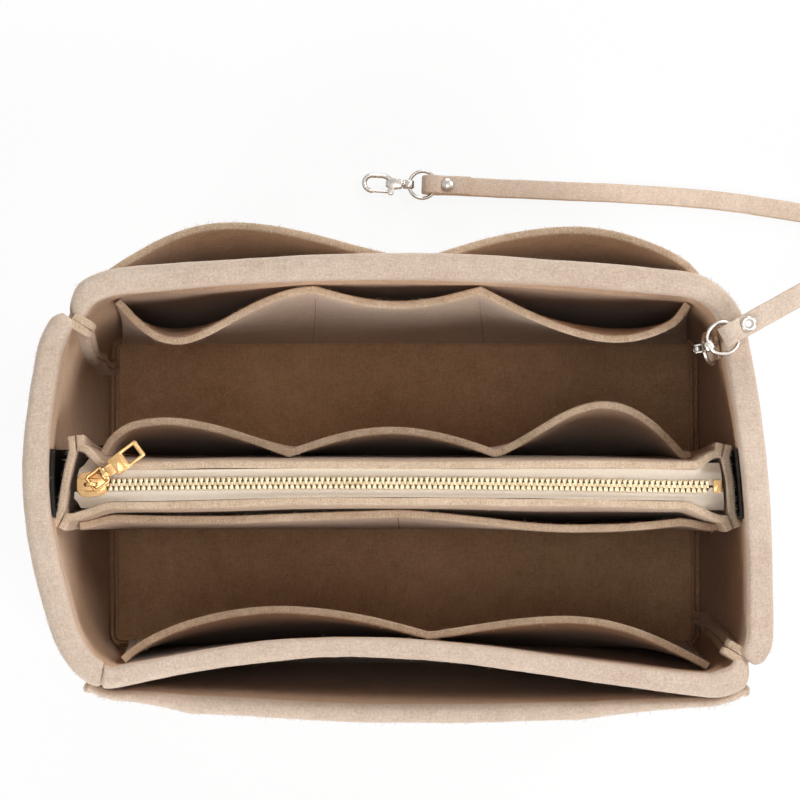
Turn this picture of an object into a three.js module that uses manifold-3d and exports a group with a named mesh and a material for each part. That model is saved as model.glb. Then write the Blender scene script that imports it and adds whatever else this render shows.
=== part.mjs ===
// Purse organizer insert: an open felt box with outer and inner pockets, a lift-out zip pouch
// that divides it in two, and a clip-on felt strap that lies behind it.
// Millimetres, +Z up, X along the length, the front pocket towards -Y.
import * as THREE from "three";
import { mergeVertices } from "three/addons/utils/BufferGeometryUtils.js";
import Module from "manifold-3d";

const wasm = await Module();
wasm.setup();
const { lerp, smoothstep, clamp, degToRad, radToDeg } = THREE.MathUtils;

// The felt box
const LENGTH = 274; // outside of the walls at the base
const WIDTH = 152;
const HEIGHT = 160;
const BASE_RADIUS = 14;
const FELT = 3; // one layer
const WALL = 7; // two layers folded over
const RIM = 10; // the soft fold at the top
const RIM_DEPTH = 35; // how far below the top the fold stays puffed up
const CLEAR = 0.3; // between pieces that touch
const SEAM_SHARE = 0.6; // how far round a corner its seam is
const FLANGE_WIDTH = 1.8; // the turned-in seam edge of a wall
const FLANGE_DEPTH = 4;

// Corners anticlockwise from front left: how far the rim leans from the base corner, and its radius
const CORNERS = [
  { x: -1, y: -1, lean: [4.6, 1.6], radius: 25 },
  { x: 1, y: -1, lean: [4.3, -2.9], radius: 26 },
  { x: 1, y: 1, lean: [-9, 6.2], radius: 22.5 },
  { x: -1, y: 1, lean: [-4.2, 7.8], radius: 36 },
];
const BOWS = [-12.9, 3.1, 5.9, 6.8]; // outward bow of the front, right, back and left rim
const BOW_SKEWS = [1.28, 1, 1, 1]; // above 1, a bow is deepest before the middle of its side

// The sewn-on pockets. Seams are shares of the straight side that they sit on, and may run past its ends
const FRONT_POCKET = { height: 150, wall: 7, rim: 9, gap: 16 };
const FRONT_POCKET_SHARES = { thin: 0.45, leftCorner: 0.29, rightCorner: 0.35 };
const FRONT_POCKET_BELLY = { skew: 0.82, power: 1.75 }; // it stands off most a little left of its middle
const BACK_POCKET = { top: 125, seams: [-0.048, 0.468, 1.045], bulges: [15.5, 16.5], skews: [0.8, 1.44] };
const INNER_BACK_POCKET = {
  top: 130,
  seams: [-0.055, 0.358, 0.665, 1.022],
  bulges: [15, 6.5, 17],
  skews: [0.7, 1, 1.64],
};
const INNER_FRONT_POCKET = { top: 125, seams: [0.01, 0.522, 1.01], bulges: [13, 15], skews: [0.85, 1.1] };
const POCKET_BOTTOM = 5;

// The lift-out zip pouch
const POUCH_X = -2.1; // middle of the pouch from the middle of the box
const POUCH_Y = 1.3;
const POUCH_TOP = 145;
const POUCH_END_GAP = 4.9; // from the end gusset to the box wall at the base
const POUCH_WIDTH = 28; // outside, at the ends and along the base
const POUCH_NECK = 16.6; // outside, along the zip
const NECK_TAPER = 22; // length over which an end narrows to the neck
const POUCH_FLARE = 4.1; // how much further each end reaches at the top than at the base
const EAR = 3.2; // raw edge of a pouch seam
const GUSSET_DROP = 0.6; // from the top of the panels down to an end gusset
const POUCH_BACK_POCKET = {
  top: 125,
  seams: [0.037, 0.329, 0.651, 0.972],
  bulges: [13, 9, 19],
  skews: [0.62, 1, 1.42],
};
const POUCH_FRONT_POCKET = { top: 128, seams: [0.01, 0.5, 0.99], bulges: [1.5, 5], skews: [1, 1.3] };

// Hook-and-loop patches
const PATCH = 1.2;
const PATCH_BOTTOM = 20;
const PATCH_TOP = 120;
const WALL_PATCH_WIDTH = 28;
const POUCH_PATCH_WIDTH = 18;

// The zip
const ZIP_Z = 142.6; // middle of the teeth
const TAPE = 0.6;
const TAPE_EDGE = 2.7; // from the centre line to the tape
const TAPE_SLANT = 3; // the folded corner at the closed end
const TAPE_END_GAP = 1.5; // from the closed end to the left gusset
const TOOTH_PITCH = 2.1;
const TOOTH_WIDTH = 0.75;
const TOOTH_HEIGHT = 2;
const TOOTH_REACH = 0.6; // how far a tooth passes the centre line
const TOOTH_ROOT = 1.9;
const CHAIN_EDGE = 2.4;
const BOTTOM_STOP = { length: 3.5, proud: 0.2, endGap: 0.5 };
const TOP_STOP = { length: 2, from: 1.5 };
const SLIDER_LENGTH = 11.5;
const SLIDER_WIDTH = 9.6;
const SLIDER_PLATE = 1.2;
const SLIDER_CHANNEL = 2.8;
const SLIDER_END_GAP = 2; // from the closed slider to the left gusset
const SLIDER_POST = 1.1; // half width of the wedge between the plates
const SLIDER_LIP = { width: 1, height: 0.5 };
const BRIDGE = { half: 2.6, wall: 0.8, width: 1.6, height: 3.9 };
const LINK = { wire: 0.55, half: 3.1, spacing: 6.6, lift: 2 };
const PULL_YAW = 37; // degrees from the zip to the way the pull points
const TAB = { length: 17, width: 7.2, thick: 1.6, shoulder: 4.2, corner: 1 };
const TAB_KNUCKLE = { radius: 1.65, bore: 0.85, half: 2.1 };
const TAB_WINDOW = { from: 8.9, to: 14.9, half: 2.3 };

// The strap and what is on it
const STRAP_WIDTH = 8;
const STRAP = 3;
const RING_RADIUS = 5.95; // to the middle of the wire
const RING_WIRE = 0.75;
const RING_ABOVE_RIM = 3.6;
const RING_TILT = 10;
const LOOP_CENTRE = 3.65; // from the ring's centre to the middle of the strap's turn
const RIVET_REACH = 11; // from the ring's centre to the rivet
const FLAP_REACH = 21;
const RIVET = { head: 2.9, dome: 1.3, flange: 0.7, shaft: 1.3, hole: 1.6, dimple: 1.4 };
const NEAR_YAW = 29.3; // degrees, the way the strap leaves the box
const FREE_YAW = -2.3;
const FREE_RING = [7.8, 134.5]; // the free ring on the floor
const FREE_EYE_HEIGHT = 2.8;
const FREE_LOOP_HEIGHT = 4.3;
const CLASP = {
  eyeHole: 1.15,
  eye: 2.2,
  eyeWidth: 3.6,
  post: 1.1,
  bore: 1.45,
  bodyFrom: 4.7,
  bodyTo: 10.2,
  bodyHalf: 2.6,
  thick: 3.4,
  head: 1.5,
  recess: 1.8,
  bar: 1.05,
  reach: 3.4, // from the axis to the middle of the hook's bar
  tip: 19.65,
  pinX: 7.9,
  pinY: -3.7,
  pin: 0.5,
  ear: 1.3,
  gateBore: 0.8,
  gate: 0.7,
};
const D_RING = { half: 6, leg: 2, wire: 0.8, slope: 65 };
const D_RING_STATION = 2.965; // on the right wall, just before the back corner
const RING_TAB = { layer: 1.2, width: 9, reach: 3.6, above: 8, below: 12 };

// Hand-laid route of the strap between its riveted ends, from the rim down to the floor
const STRAP_ROUTE = [
  [147.6, 71.6, 170.6],
  [159.8, 78.5, 168.5],
  [171.2, 84.9, 160],
  [180.6, 90.6, 146],
  [187.9, 95.7, 127],
  [193, 100.7, 104],
  [197, 106, 79],
  [200, 111, 54],
  [200.5, 114.5, 32],
  [196.5, 117.4, 14.5],
  [188, 119.8, 4.6],
  [177, 121.7, 1.8],
  [165, 123.7, 1.8],
  [138, 127.6, 1.8],
  [103, 130.4, 1.8],
  [68, 132, 1.8],
  [44, 133, 1.8],
];

const finish = (color, roughness, metalness) =>
  new THREE.MeshStandardMaterial({ color, roughness, metalness });
const felt = finish("#cfbba8", 0.95, 0);
const patchBlack = finish("#15120f", 0.95, 0);
const tapeCream = finish("#d8c3a8", 0.8, 0);
const gold = finish("#c9a468", 0.3, 1);
const nickel = finish("#c4c4c4", 0.25, 1);

// Signed volume of an indexed geometry, negative where its faces point inwards.
function signedVolume(positions, index) {
  const [a, b, c] = [0, 1, 2].map(() => new THREE.Vector3());
  let volume = 0;
  for (let i = 0; i < index.length; i += 3) {
    a.fromArray(positions, 3 * index[i]);
    b.fromArray(positions, 3 * index[i + 1]);
    c.fromArray(positions, 3 * index[i + 2]);
    volume += a.dot(b.cross(c)) / 6;
  }
  return volume;
}

// Triangles that close a flat ring, wound the same way round as the ring.
function capTriangles(ring) {
  const normal = new THREE.Vector3();
  ring.forEach((point, i) => {
    const next = ring[(i + 1) % ring.length];
    normal.add(new THREE.Vector3().crossVectors(point, next));
  });
  normal.normalize();
  const steep = Math.abs(normal.x) > 0.7;
  const across = new THREE.Vector3(steep ? 0 : 1, steep ? 1 : 0, 0);
  across.addScaledVector(normal, -across.dot(normal)).normalize();
  const up = new THREE.Vector3().crossVectors(normal, across);
  const flat = ring.map((point) => new THREE.Vector2(point.dot(across), point.dot(up)));
  return THREE.ShapeUtils.triangulateShape(flat, []).map(([i, j, k]) => {
    const area = THREE.ShapeUtils.area([flat[i], flat[j], flat[k]]);
    return area > 0 ? [i, j, k] : [i, k, j];
  });
}

// One closed body through rings of equal count: capped at both ends, or joined end to end.
function loft(rings, closed = false) {
  const count = rings[0].length;
  const positions = rings.flat().flatMap((point) => point.toArray());
  const index = [];
  const last = closed ? rings.length : rings.length - 1;
  for (let r = 0; r < last; r++) {
    const from = r * count;
    const to = ((r + 1) % rings.length) * count;
    for (let i = 0; i < count; i++) {
      const j = (i + 1) % count;
      index.push(from + i, from + j, to + j, from + i, to + j, to + i);
    }
  }
  if (!closed) {
    const end = (rings.length - 1) * count;
    capTriangles(rings[0]).forEach(([i, j, k]) => index.push(i, k, j));
    capTriangles(rings.at(-1)).forEach(([i, j, k]) => index.push(end + i, end + j, end + k));
  }
  if (signedVolume(positions, index) < 0) index.reverse();
  const geometry = new THREE.BufferGeometry();
  geometry.setAttribute("position", new THREE.Float32BufferAttribute(positions, 3));
  geometry.setIndex(index);
  return geometry;
}

function solid(geometry) {
  const bare = geometry.clone();
  bare.deleteAttribute("normal");
  bare.deleteAttribute("uv");
  const merged = mergeVertices(bare, 1e-4);
  const vertProperties = merged.attributes.position.array;
  const triVerts = new Uint32Array(merged.index.array);
  return new wasm.Manifold(new wasm.Mesh({ numProp: 3, vertProperties, triVerts }));
}

function geometryOf(manifold) {
  const { vertProperties, triVerts } = manifold.getMesh();
  const geometry = new THREE.BufferGeometry();
  geometry.setAttribute("position", new THREE.Float32BufferAttribute(vertProperties, 3));
  geometry.setIndex(new THREE.Uint32BufferAttribute(triVerts, 1));
  return geometry;
}

const join = (...pieces) => geometryOf(pieces.map(solid).reduce((a, b) => a.add(b)));
const cut = (body, ...tools) =>
  geometryOf(tools.map(solid).reduce((a, b) => a.subtract(b), solid(body)));

function box(low, high) {
  const size = high.map((value, i) => value - low[i]);
  const middle = high.map((value, i) => (value + low[i]) / 2);
  return new THREE.BoxGeometry(...size).translate(...middle);
}

// A straight round bar from one point to another.
function rod(radius, from, to, sides = 12) {
  const start = new THREE.Vector3(...from);
  const along = new THREE.Vector3(...to).sub(start);
  const length = along.length();
  const turn = new THREE.Quaternion().setFromUnitVectors(new THREE.Vector3(0, 1, 0), along.normalize());
  const bar = new THREE.CylinderGeometry(radius, radius, length, sides);
  const middle = start.addScaledVector(along, length / 2);
  return bar.applyQuaternion(turn).translate(middle.x, middle.y, middle.z);
}

// A flat outline in XY, drawn out from one height to another.
function slab(points, low, high) {
  const shape = new THREE.Shape(points.map(([x, y]) => new THREE.Vector2(x, y)));
  const geometry = new THREE.ExtrudeGeometry(shape, { depth: high - low, bevelEnabled: false });
  return geometry.translate(0, 0, low);
}

// A round wire along a flat path in XY.
function wire(path, radius, sides, closed) {
  const count = path.length;
  const rings = path.map((point, i) => {
    const before = path[closed ? (i + count - 1) % count : Math.max(i - 1, 0)];
    const after = path[closed ? (i + 1) % count : Math.min(i + 1, count - 1)];
    const along = after.clone().sub(before).normalize();
    return Array.from({ length: sides }, (_, k) => {
      const angle = (2 * Math.PI * k) / sides;
      const side = radius * Math.cos(angle);
      const height = radius * Math.sin(angle);
      return new THREE.Vector3(point.x - along.y * side, point.y + along.x * side, height);
    });
  });
  return loft(rings, closed);
}

// Points of an arc in a plane, from one angle to another in degrees.
function arc(x, y, radius, from, to, steps) {
  return Array.from({ length: steps + 1 }, (_, i) => {
    const angle = degToRad(lerp(from, to, i / steps));
    return new THREE.Vector2(x + radius * Math.cos(angle), y + radius * Math.sin(angle));
  });
}

// Shape of the box. A station runs from 0 to 8 round the plan, anticlockwise from the front left:
// even spans are the sides, and odd spans are the corners that follow them.
const rise = (z) => Math.sin((Math.PI / 2) * (z / HEIGHT));
const radiusAt = (index, z) => lerp(BASE_RADIUS, CORNERS[index % 4].radius, rise(z));
const ARC_HANDLE = 0.5523; // handle of a quarter circle drawn as a cubic curve, in radii

function cornerAt(index, z) {
  const { x, y, lean } = CORNERS[index % 4];
  const lift = rise(z);
  return new THREE.Vector2((x * LENGTH) / 2 + lean[0] * lift, (y * WIDTH) / 2 + lean[1] * lift);
}

function sideEnds(index, z) {
  const from = cornerAt(index, z);
  const to = cornerAt(index + 1, z);
  const along = to.clone().sub(from).normalize();
  from.addScaledVector(along, radiusAt(index, z));
  to.addScaledVector(along, -radiusAt(index + 1, z));
  return { from, to, along };
}

function sideAt(index, t, z) {
  const { from, to, along } = sideEnds(index, z);
  const outward = new THREE.Vector2(along.y, -along.x);
  const bow = BOWS[index % 4] * rise(z);
  const skew = BOW_SKEWS[index % 4];
  const left = (1 - t) ** skew;
  const turn = -Math.PI * skew * (1 - t) ** (skew - 1);
  const slope = (bow * turn * Math.cos(Math.PI * left)) / from.distanceTo(to);
  const point = from.lerp(to, t).addScaledVector(outward, bow * Math.sin(Math.PI * left));
  const tangent = along.addScaledVector(outward, slope).normalize();
  return { point, tangent };
}

function cornerCurve(index, t, z) {
  const start = sideAt(index + 3, 1, z);
  const end = sideAt(index, 0, z);
  const handle = ARC_HANDLE * radiusAt(index, z);
  const leave = start.point.clone().addScaledVector(start.tangent, handle);
  const arrive = end.point.clone().addScaledVector(end.tangent, -handle);
  const curve = new THREE.CubicBezierCurve(start.point, leave, arrive, end.point);
  return { point: curve.getPoint(t), tangent: curve.getTangent(t) };
}

function outlineAt(station, z) {
  const span = Math.floor(station) % 8;
  const t = station - Math.floor(station);
  const index = Math.floor(span / 2);
  return span % 2 === 0 ? sideAt(index, t, z) : cornerCurve(index + 1, t, z);
}

// The plan point at a depth inwards from the outside of the rim.
function inset(station, depth, z) {
  const { point, tangent } = outlineAt(station, z);
  return new THREE.Vector2(point.x - tangent.y * depth, point.y + tangent.x * depth);
}

const raise = (point, z) => new THREE.Vector3(point.x, point.y, z);
const steps = (from, to, count) =>
  Array.from({ length: count + 1 }, (_, i) => lerp(from, to, i / count));

// The folded wall: how deep its outer and inner faces lie, puffed out towards the rim.
const puff = (z) => smoothstep(z, HEIGHT - RIM_DEPTH, HEIGHT - RIM / 2);
const outerDepth = (z) => ((RIM - WALL) / 2) * (1 - puff(z));
const innerDepth = (z) => WALL + (RIM - WALL) / 2 + ((RIM - WALL) / 2) * puff(z);

// Section of a folded double wall as [depth, height] points, up its inner face and down its outer one.
function foldedSection(height, outer, inner) {
  const round = height - RIM / 2;
  const foot = FELT + CLEAR;
  const puffed = [height - RIM_DEPTH, height - RIM_DEPTH / 2, round];
  const heights = [0, foot, 2 * foot, ...steps(0, height - RIM_DEPTH, 4).slice(1, -1), ...puffed];
  const low = outer(height);
  const high = inner(height);
  const middle = (low + high) / 2;
  const shoulder = ((high - low) / 2) * Math.SQRT1_2;
  const top = [
    [middle + shoulder, round + shoulder],
    [middle, round + (high - low) / 2],
    [middle - shoulder, round + shoulder],
  ];
  const up = heights.map((z) => [inner(z), z]);
  const down = heights.filter((z) => z !== foot && z !== 2 * foot).map((z) => [outer(z), z]);
  return [...up, ...top, ...down.reverse()];
}

const SIDE_STEPS = [14, 8, 14, 8];
const CORNER_STEPS = 8;
const outlineStations = Array.from({ length: 8 }, (_, span) => {
  const count = span % 2 === 0 ? SIDE_STEPS[span / 2] : CORNER_STEPS;
  return steps(span, span + 1, count).slice(0, -1);
}).flat();

// One of the two wall strips, from its first seam round to its last, with both edges turned inwards.
const SEAM_REACH = 0.25; // how far from a seam the plain wall starts, in stations
function wallStrip(first, last) {
  const from = first + SEAM_SHARE;
  const to = last + SEAM_SHARE;
  const twice = [...outlineStations, ...outlineStations.map((s) => s + 8)];
  const free = twice.filter((s) => s > from + SEAM_REACH + 0.05 && s < to - SEAM_REACH - 0.05);
  const section = foldedSection(HEIGHT, outerDepth, innerDepth);
  const foot = 1.5 * (FELT + CLEAR);
  const seamRing = (seam, along, flange) =>
    section.map(([depth, z]) => {
      const { point, tangent } = outlineAt(seam, z);
      const inward = new THREE.Vector2(-tangent.y, tangent.x);
      const turned = flange && depth > RIM / 2 && z > foot && z < HEIGHT - RIM;
      point.addScaledVector(tangent, along).addScaledVector(inward, turned ? depth + FLANGE_DEPTH : depth);
      return raise(point, z);
    });
  const near = CLEAR / 2;
  const far = near + FLANGE_WIDTH;
  const plain = [from + SEAM_REACH, ...free, to - SEAM_REACH];
  return loft([
    seamRing(from, near, true),
    seamRing(from, far, true),
    seamRing(from, far + CLEAR, false),
    ...plain.map((station) => section.map(([depth, z]) => raise(inset(station, depth, z), z))),
    seamRing(to, -far - CLEAR, false),
    seamRing(to, -far, true),
    seamRing(to, -near, true),
  ]);
}

function basePanel() {
  const ringAt = (z) => outlineStations.map((s) => raise(inset(s, innerDepth(z) + CLEAR, z), z));
  return loft([ringAt(0), ringAt(FELT)]);
}

// Plan path moved to its left by a distance, mitred at its bends.
function offsetPath(path, distance) {
  return path.map((point, i) => {
    const before = point.clone().sub(path[Math.max(i - 1, 0)]);
    const after = path[Math.min(i + 1, path.length - 1)].clone().sub(point);
    const into = (before.lengthSq() > 0 ? before : after).clone().normalize();
    const out = (after.lengthSq() > 0 ? after : before).clone().normalize();
    const middle = into.clone().add(out).normalize();
    const reach = distance / Math.max(middle.dot(into), 0.5);
    return new THREE.Vector2(point.x - middle.y * reach, point.y + middle.x * reach);
  });
}

// A standing sheet on a plan path that may change with height, thickened to the left of the path.
function standingSheet(pathAt, heights, thickness) {
  const faces = heights.map((z) => {
    const path = pathAt(z);
    return { z, path, far: offsetPath(path, thickness) };
  });
  const back = [...faces].reverse();
  const rings = faces[0].path.map((_, i) => [
    ...faces.map(({ z, path }) => raise(path[i], z)),
    ...back.map(({ z, far }) => raise(far[i], z)),
  ]);
  return loft(rings);
}

// How far a pocket strip stands off its wall: nothing at its seams, and full at the top of each bay.
const BAY_STEPS = 8;
function bayStations(seams) {
  const bays = seams.slice(1).map((seam, i) => steps(seams[i], seam, BAY_STEPS).slice(i === 0 ? 0 : 1));
  return bays.flat();
}

function bayGap({ top, seams, bulges, skews }, share, z) {
  const bay = Math.max(0, seams.slice(1, -1).filter((seam) => seam < share).length);
  const t = (share - seams[bay]) / (seams[bay + 1] - seams[bay]);
  const open = ((z - POCKET_BOTTOM) / (top - POCKET_BOTTOM)) ** 1.5;
  return bulges[bay] * Math.sin(Math.PI * Math.min(1, t) ** skews[bay]) * open;
}

const pocketHeights = (top) => steps(POCKET_BOTTOM, top, 5);

// Station of a share of a side; past its ends it runs on into the corners at about the same pace.
const CORNER_PACE = 4.8;
function sideStation(side, share) {
  const past = share - clamp(share, 0, 1);
  return 2 * side + share + past * (CORNER_PACE - 1);
}

// A strip of single felt on one side of the box, inside it or outside.
function boxPocket(side, pocket, inside) {
  const round = steps(0, 0.06, 6);
  const bends = [...round.map((past) => -past), ...round.map((past) => 1 + past)];
  const within = bends.filter((share) => share > pocket.seams[0] && share < pocket.seams.at(-1));
  const shares = [...new Set([...bayStations(pocket.seams), ...within])].sort((a, b) => a - b);
  const pathAt = (z) =>
    shares.map((share) => {
      const gap = CLEAR + bayGap(pocket, share, z);
      const depth = inside ? innerDepth(z) + gap : outerDepth(z) - gap;
      return inset(sideStation(side, share), depth, z);
    });
  return standingSheet(pathAt, pocketHeights(pocket.top), inside ? FELT : -FELT);
}

// The big front pocket: a folded wall of its own that hangs open in front of the box.
function frontPocket() {
  const { height, wall, rim, gap } = FRONT_POCKET;
  const { thin, leftCorner, rightCorner } = FRONT_POCKET_SHARES;
  const { skew, power } = FRONT_POCKET_BELLY;
  const round = [...steps(-leftCorner, 0, 3).slice(0, -1), ...steps(0, 1, 16)];
  const stations = [...round, ...steps(1, 1 + rightCorner, 4).slice(1)].map((share) => 8 + share);
  const swell = (z) => smoothstep(z, height - RIM_DEPTH, height - RIM / 2);
  const section = foldedSection(height, () => 0, (z) => lerp(wall, rim, swell(z)));
  const left = inset(stations[0], 0, height).x;
  const right = inset(stations.at(-1), 0, height).x;
  const rings = stations.map((station) => {
    const share = (inset(station, 0, height).x - left) / (right - left);
    const belly = Math.sin(Math.PI * clamp(share, 0, 1) ** skew) ** power;
    const fold = lerp(thin, 1, Math.min(1, 2.5 * belly));
    return section.map(([depth, z]) => {
      const stand = CLEAR + gap * rise(z) * belly;
      return raise(inset(station, outerDepth(z) - stand - depth * fold, z), z);
    });
  });
  return loft(rings);
}

// A hook-and-loop patch on the inside of an end wall, level with the end of the pouch.
function wallPatch(side) {
  const { from, to } = sideEnds(side, HEIGHT / 2);
  const middle = (POUCH_Y - from.y) / (to.y - from.y);
  const half = WALL_PATCH_WIDTH / 2 / Math.abs(to.y - from.y);
  const shares = steps(middle - half, middle + half, 4);
  const pathAt = (z) => shares.map((share) => inset(2 * side + share, innerDepth(z) + CLEAR, z));
  return standingSheet(pathAt, steps(PATCH_BOTTOM, PATCH_TOP, 4), PATCH);
}

// The pouch, in its own frame: centred on the zip, with its seam edges standing out at 45 degrees.
const POUCH_BOTTOM = FELT + CLEAR;
const POUCH_FOOT_END = LENGTH / 2 - innerDepth(0) - POUCH_END_GAP - FELT - CLEAR; // inside of a gusset
const POUCH_END = POUCH_FOOT_END + POUCH_FLARE; // the same, at the top
const CORNER_Y = POUCH_WIDTH / 2 - FELT;
const pouchHeights = steps(POUCH_BOTTOM, POUCH_TOP, 5);

// A place along the pouch's top, drawn in towards the base.
const flared = (x, z) => x * (1 - (POUCH_FLARE / POUCH_END) * (1 - (z / POUCH_TOP) ** 1.5));

// Inside half width of the pouch at a place along it.
function pouchHalf(x, z) {
  const neck = smoothstep(Math.abs(x), POUCH_END - NECK_TAPER, POUCH_END - 2);
  const top = lerp(POUCH_NECK / 2 - FELT, CORNER_Y, neck);
  return lerp(CORNER_Y, top, (z / POUCH_TOP) ** 2);
}

const pouchStations = (() => {
  const inner = POUCH_END - NECK_TAPER;
  const taper = steps(inner, POUCH_END, 6);
  return [...taper.map((x) => -x).reverse(), ...steps(-inner, inner, 8).slice(1, -1), ...taper];
})();

const earPoint = (x, y, z) => {
  const reach = EAR * Math.SQRT1_2;
  return new THREE.Vector2(flared(x, z) + Math.sign(x) * reach, y + Math.sign(y) * reach);
};

// Front or back panel: side is -1 for the front and 1 for the back.
function pouchPanel(side) {
  const pathAt = (z) => {
    const middle = pouchStations.map((x) => new THREE.Vector2(flared(x, z), side * pouchHalf(x, z)));
    const ears = [-POUCH_END, POUCH_END].map((x) => earPoint(x, side * CORNER_Y, z));
    return [ears[0], ...middle, ears[1]];
  };
  return standingSheet(pathAt, pouchHeights, side * FELT);
}

function pouchGusset(side) {
  const end = side * POUCH_END;
  const pathAt = (z) => {
    const middle = [-CORNER_Y, 0, CORNER_Y].map((y) => new THREE.Vector2(flared(end, z), y));
    const ears = [-CORNER_Y, CORNER_Y].map((y) => earPoint(end, y, z));
    return offsetPath([ears[0], ...middle, ears[1]], -side * CLEAR);
  };
  return standingSheet(pathAt, steps(POUCH_BOTTOM, POUCH_TOP - GUSSET_DROP, 2), -side * FELT);
}

function pouchBase() {
  const x = flared(POUCH_END, POUCH_BOTTOM) - CLEAR;
  const y = CORNER_Y - 2 * CLEAR;
  return box([-x, -y, POUCH_BOTTOM], [x, y, POUCH_BOTTOM + FELT]);
}

function pouchPocket(side, pocket) {
  const bends = pouchStations.map((x) => (x + POUCH_END) / (2 * POUCH_END));
  const within = bends.filter((share) => share > pocket.seams[0] && share < pocket.seams.at(-1));
  const shares = [...new Set([...bayStations(pocket.seams), ...within])].sort((a, b) => a - b);
  const pathAt = (z) =>
    shares.map((share) => {
      const x = lerp(-POUCH_END, POUCH_END, share);
      const gap = CLEAR + bayGap(pocket, share, z);
      return new THREE.Vector2(flared(x, z), side * (pouchHalf(x, z) + FELT + gap));
    });
  return standingSheet(pathAt, pocketHeights(pocket.top), side * FELT);
}

function pouchPatch(side) {
  const half = POUCH_PATCH_WIDTH / 2;
  const pathAt = (z) => {
    const x = side * (flared(POUCH_END, z) + FELT + 2 * CLEAR);
    return [new THREE.Vector2(x, -half), new THREE.Vector2(x, half)];
  };
  return standingSheet(pathAt, [PATCH_BOTTOM, PATCH_TOP], -side * PATCH);
}

// The zip, closed, with its slider at the left end.
const SLIDER_X = -(POUCH_END - SLIDER_END_GAP - SLIDER_LENGTH / 2);
const CHAIN_FROM = SLIDER_X + SLIDER_LENGTH / 2 - 1.2;
const STOP_FROM = POUCH_END - BOTTOM_STOP.endGap - BOTTOM_STOP.length - CLEAR;
const TOOTH_COUNT = Math.floor((STOP_FROM - CLEAR - CHAIN_FROM) / TOOTH_PITCH);

function zipTape(side) {
  const left = -POUCH_END + TAPE_END_GAP;
  const right = POUCH_END - CLEAR;
  const edge = (x) => pouchHalf(x, ZIP_Z + TAPE) - CLEAR;
  const free = pouchStations.filter((x) => x > left + TAPE_SLANT && x < right);
  const outer = free.map((x) => [x, side * edge(x)]);
  const points = [
    [left, side * TAPE_EDGE],
    [right, side * TAPE_EDGE],
    [right, side * (CORNER_Y - 2 * CLEAR)],
    ...outer.reverse(),
    [left, side * (CORNER_Y - TAPE_SLANT)],
  ];
  return slab(points, ZIP_Z - TAPE / 2, ZIP_Z + TAPE / 2);
}

// A row of teeth on its cord: the back row sits half a pitch further along.
function zipTeeth(side) {
  const shift = side > 0 ? TOOTH_PITCH / 2 : 0;
  const teeth = Array.from({ length: TOOTH_COUNT }, (_, i) => {
    const x = CHAIN_FROM + shift + i * TOOTH_PITCH;
    const root = side * TOOTH_ROOT;
    const tip = -side * TOOTH_REACH;
    return [
      [x, root],
      [x, tip],
      [x + TOOTH_WIDTH, tip],
      [x + TOOTH_WIDTH, root],
    ];
  });
  const first = teeth[0][0][0];
  const last = teeth.at(-1)[3][0];
  const points = [...teeth.flat(), [last, side * CHAIN_EDGE], [first, side * CHAIN_EDGE]];
  return slab(points, ZIP_Z - TOOTH_HEIGHT / 2, ZIP_Z + TOOTH_HEIGHT / 2);
}

function bottomStop() {
  const half = TOOTH_HEIGHT / 2 + BOTTOM_STOP.proud;
  const edge = TAPE_EDGE - CLEAR;
  const from = STOP_FROM + CLEAR;
  return box([from, -edge, ZIP_Z - half], [from + BOTTOM_STOP.length, edge, ZIP_Z + half]);
}

function topStop(side) {
  const half = TOP_STOP.length / 2;
  const [low, high] = side < 0 ? [-CHAIN_EDGE, -TOP_STOP.from] : [TOP_STOP.from, CHAIN_EDGE];
  const bottom = ZIP_Z - TOOTH_HEIGHT / 2;
  return box([SLIDER_X - half, low, bottom], [SLIDER_X + half, high, bottom + TOOTH_HEIGHT]);
}

// Slider: two plates on a wedge post, lips that hold the rows in, and a bridge for the pull.
const SLIDER_TOP = ZIP_Z + SLIDER_CHANNEL / 2 + SLIDER_PLATE;
function slider() {
  const half = SLIDER_LENGTH / 2;
  const wide = SLIDER_WIDTH / 2;
  const narrow = wide * 0.72;
  const channel = SLIDER_CHANNEL / 2;
  const plate = [
    [-half, -wide * 0.5],
    [-half * 0.6, -wide],
    [half * 0.2, -wide],
    [half, -narrow],
    [half, narrow],
    [half * 0.2, wide],
    [-half * 0.6, wide],
    [-half, wide * 0.5],
  ];
  const post = [
    [-half, 0],
    [-half * 0.8, -SLIDER_POST],
    [-half * 0.35, 0],
    [-half * 0.8, SLIDER_POST],
  ];
  const { width, height: lip } = SLIDER_LIP;
  const lips = [-1, 1].flatMap((side) => {
    const [low, high] = side < 0 ? [-wide, -wide + width] : [wide - width, wide];
    const from = -half * 0.55;
    const to = half * 0.15;
    return [
      box([from, low, channel - lip], [to, high, channel + lip]),
      box([from, low, -channel - lip], [to, high, -channel + lip]),
    ];
  });
  const top = channel + SLIDER_PLATE;
  const { half: reach, wall, width: across, height } = BRIDGE;
  const arch = cut(
    box([-reach, -across / 2, top - 0.2], [reach, across / 2, top + height]),
    box([-reach + wall, -across, top], [reach - wall, across, top + height - wall]),
  );
  const plates = [slab(plate, channel, top), slab(plate, -top, -channel)];
  return join(...plates, slab(post, -top, top), ...lips, arch);
}

// Pull link and tab, each drawn along X from its own hinge bar.
function pullLink() {
  const { wire: radius, half, spacing } = LINK;
  const end = half + radius;
  const bars = [0, spacing].map((x) => rod(radius, [x, -end, 0], [x, end, 0], 8));
  const rails = [-half, half].map((y) => rod(radius, [-radius, y, 0], [spacing + radius, y, 0], 8));
  return join(...bars, ...rails);
}

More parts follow.
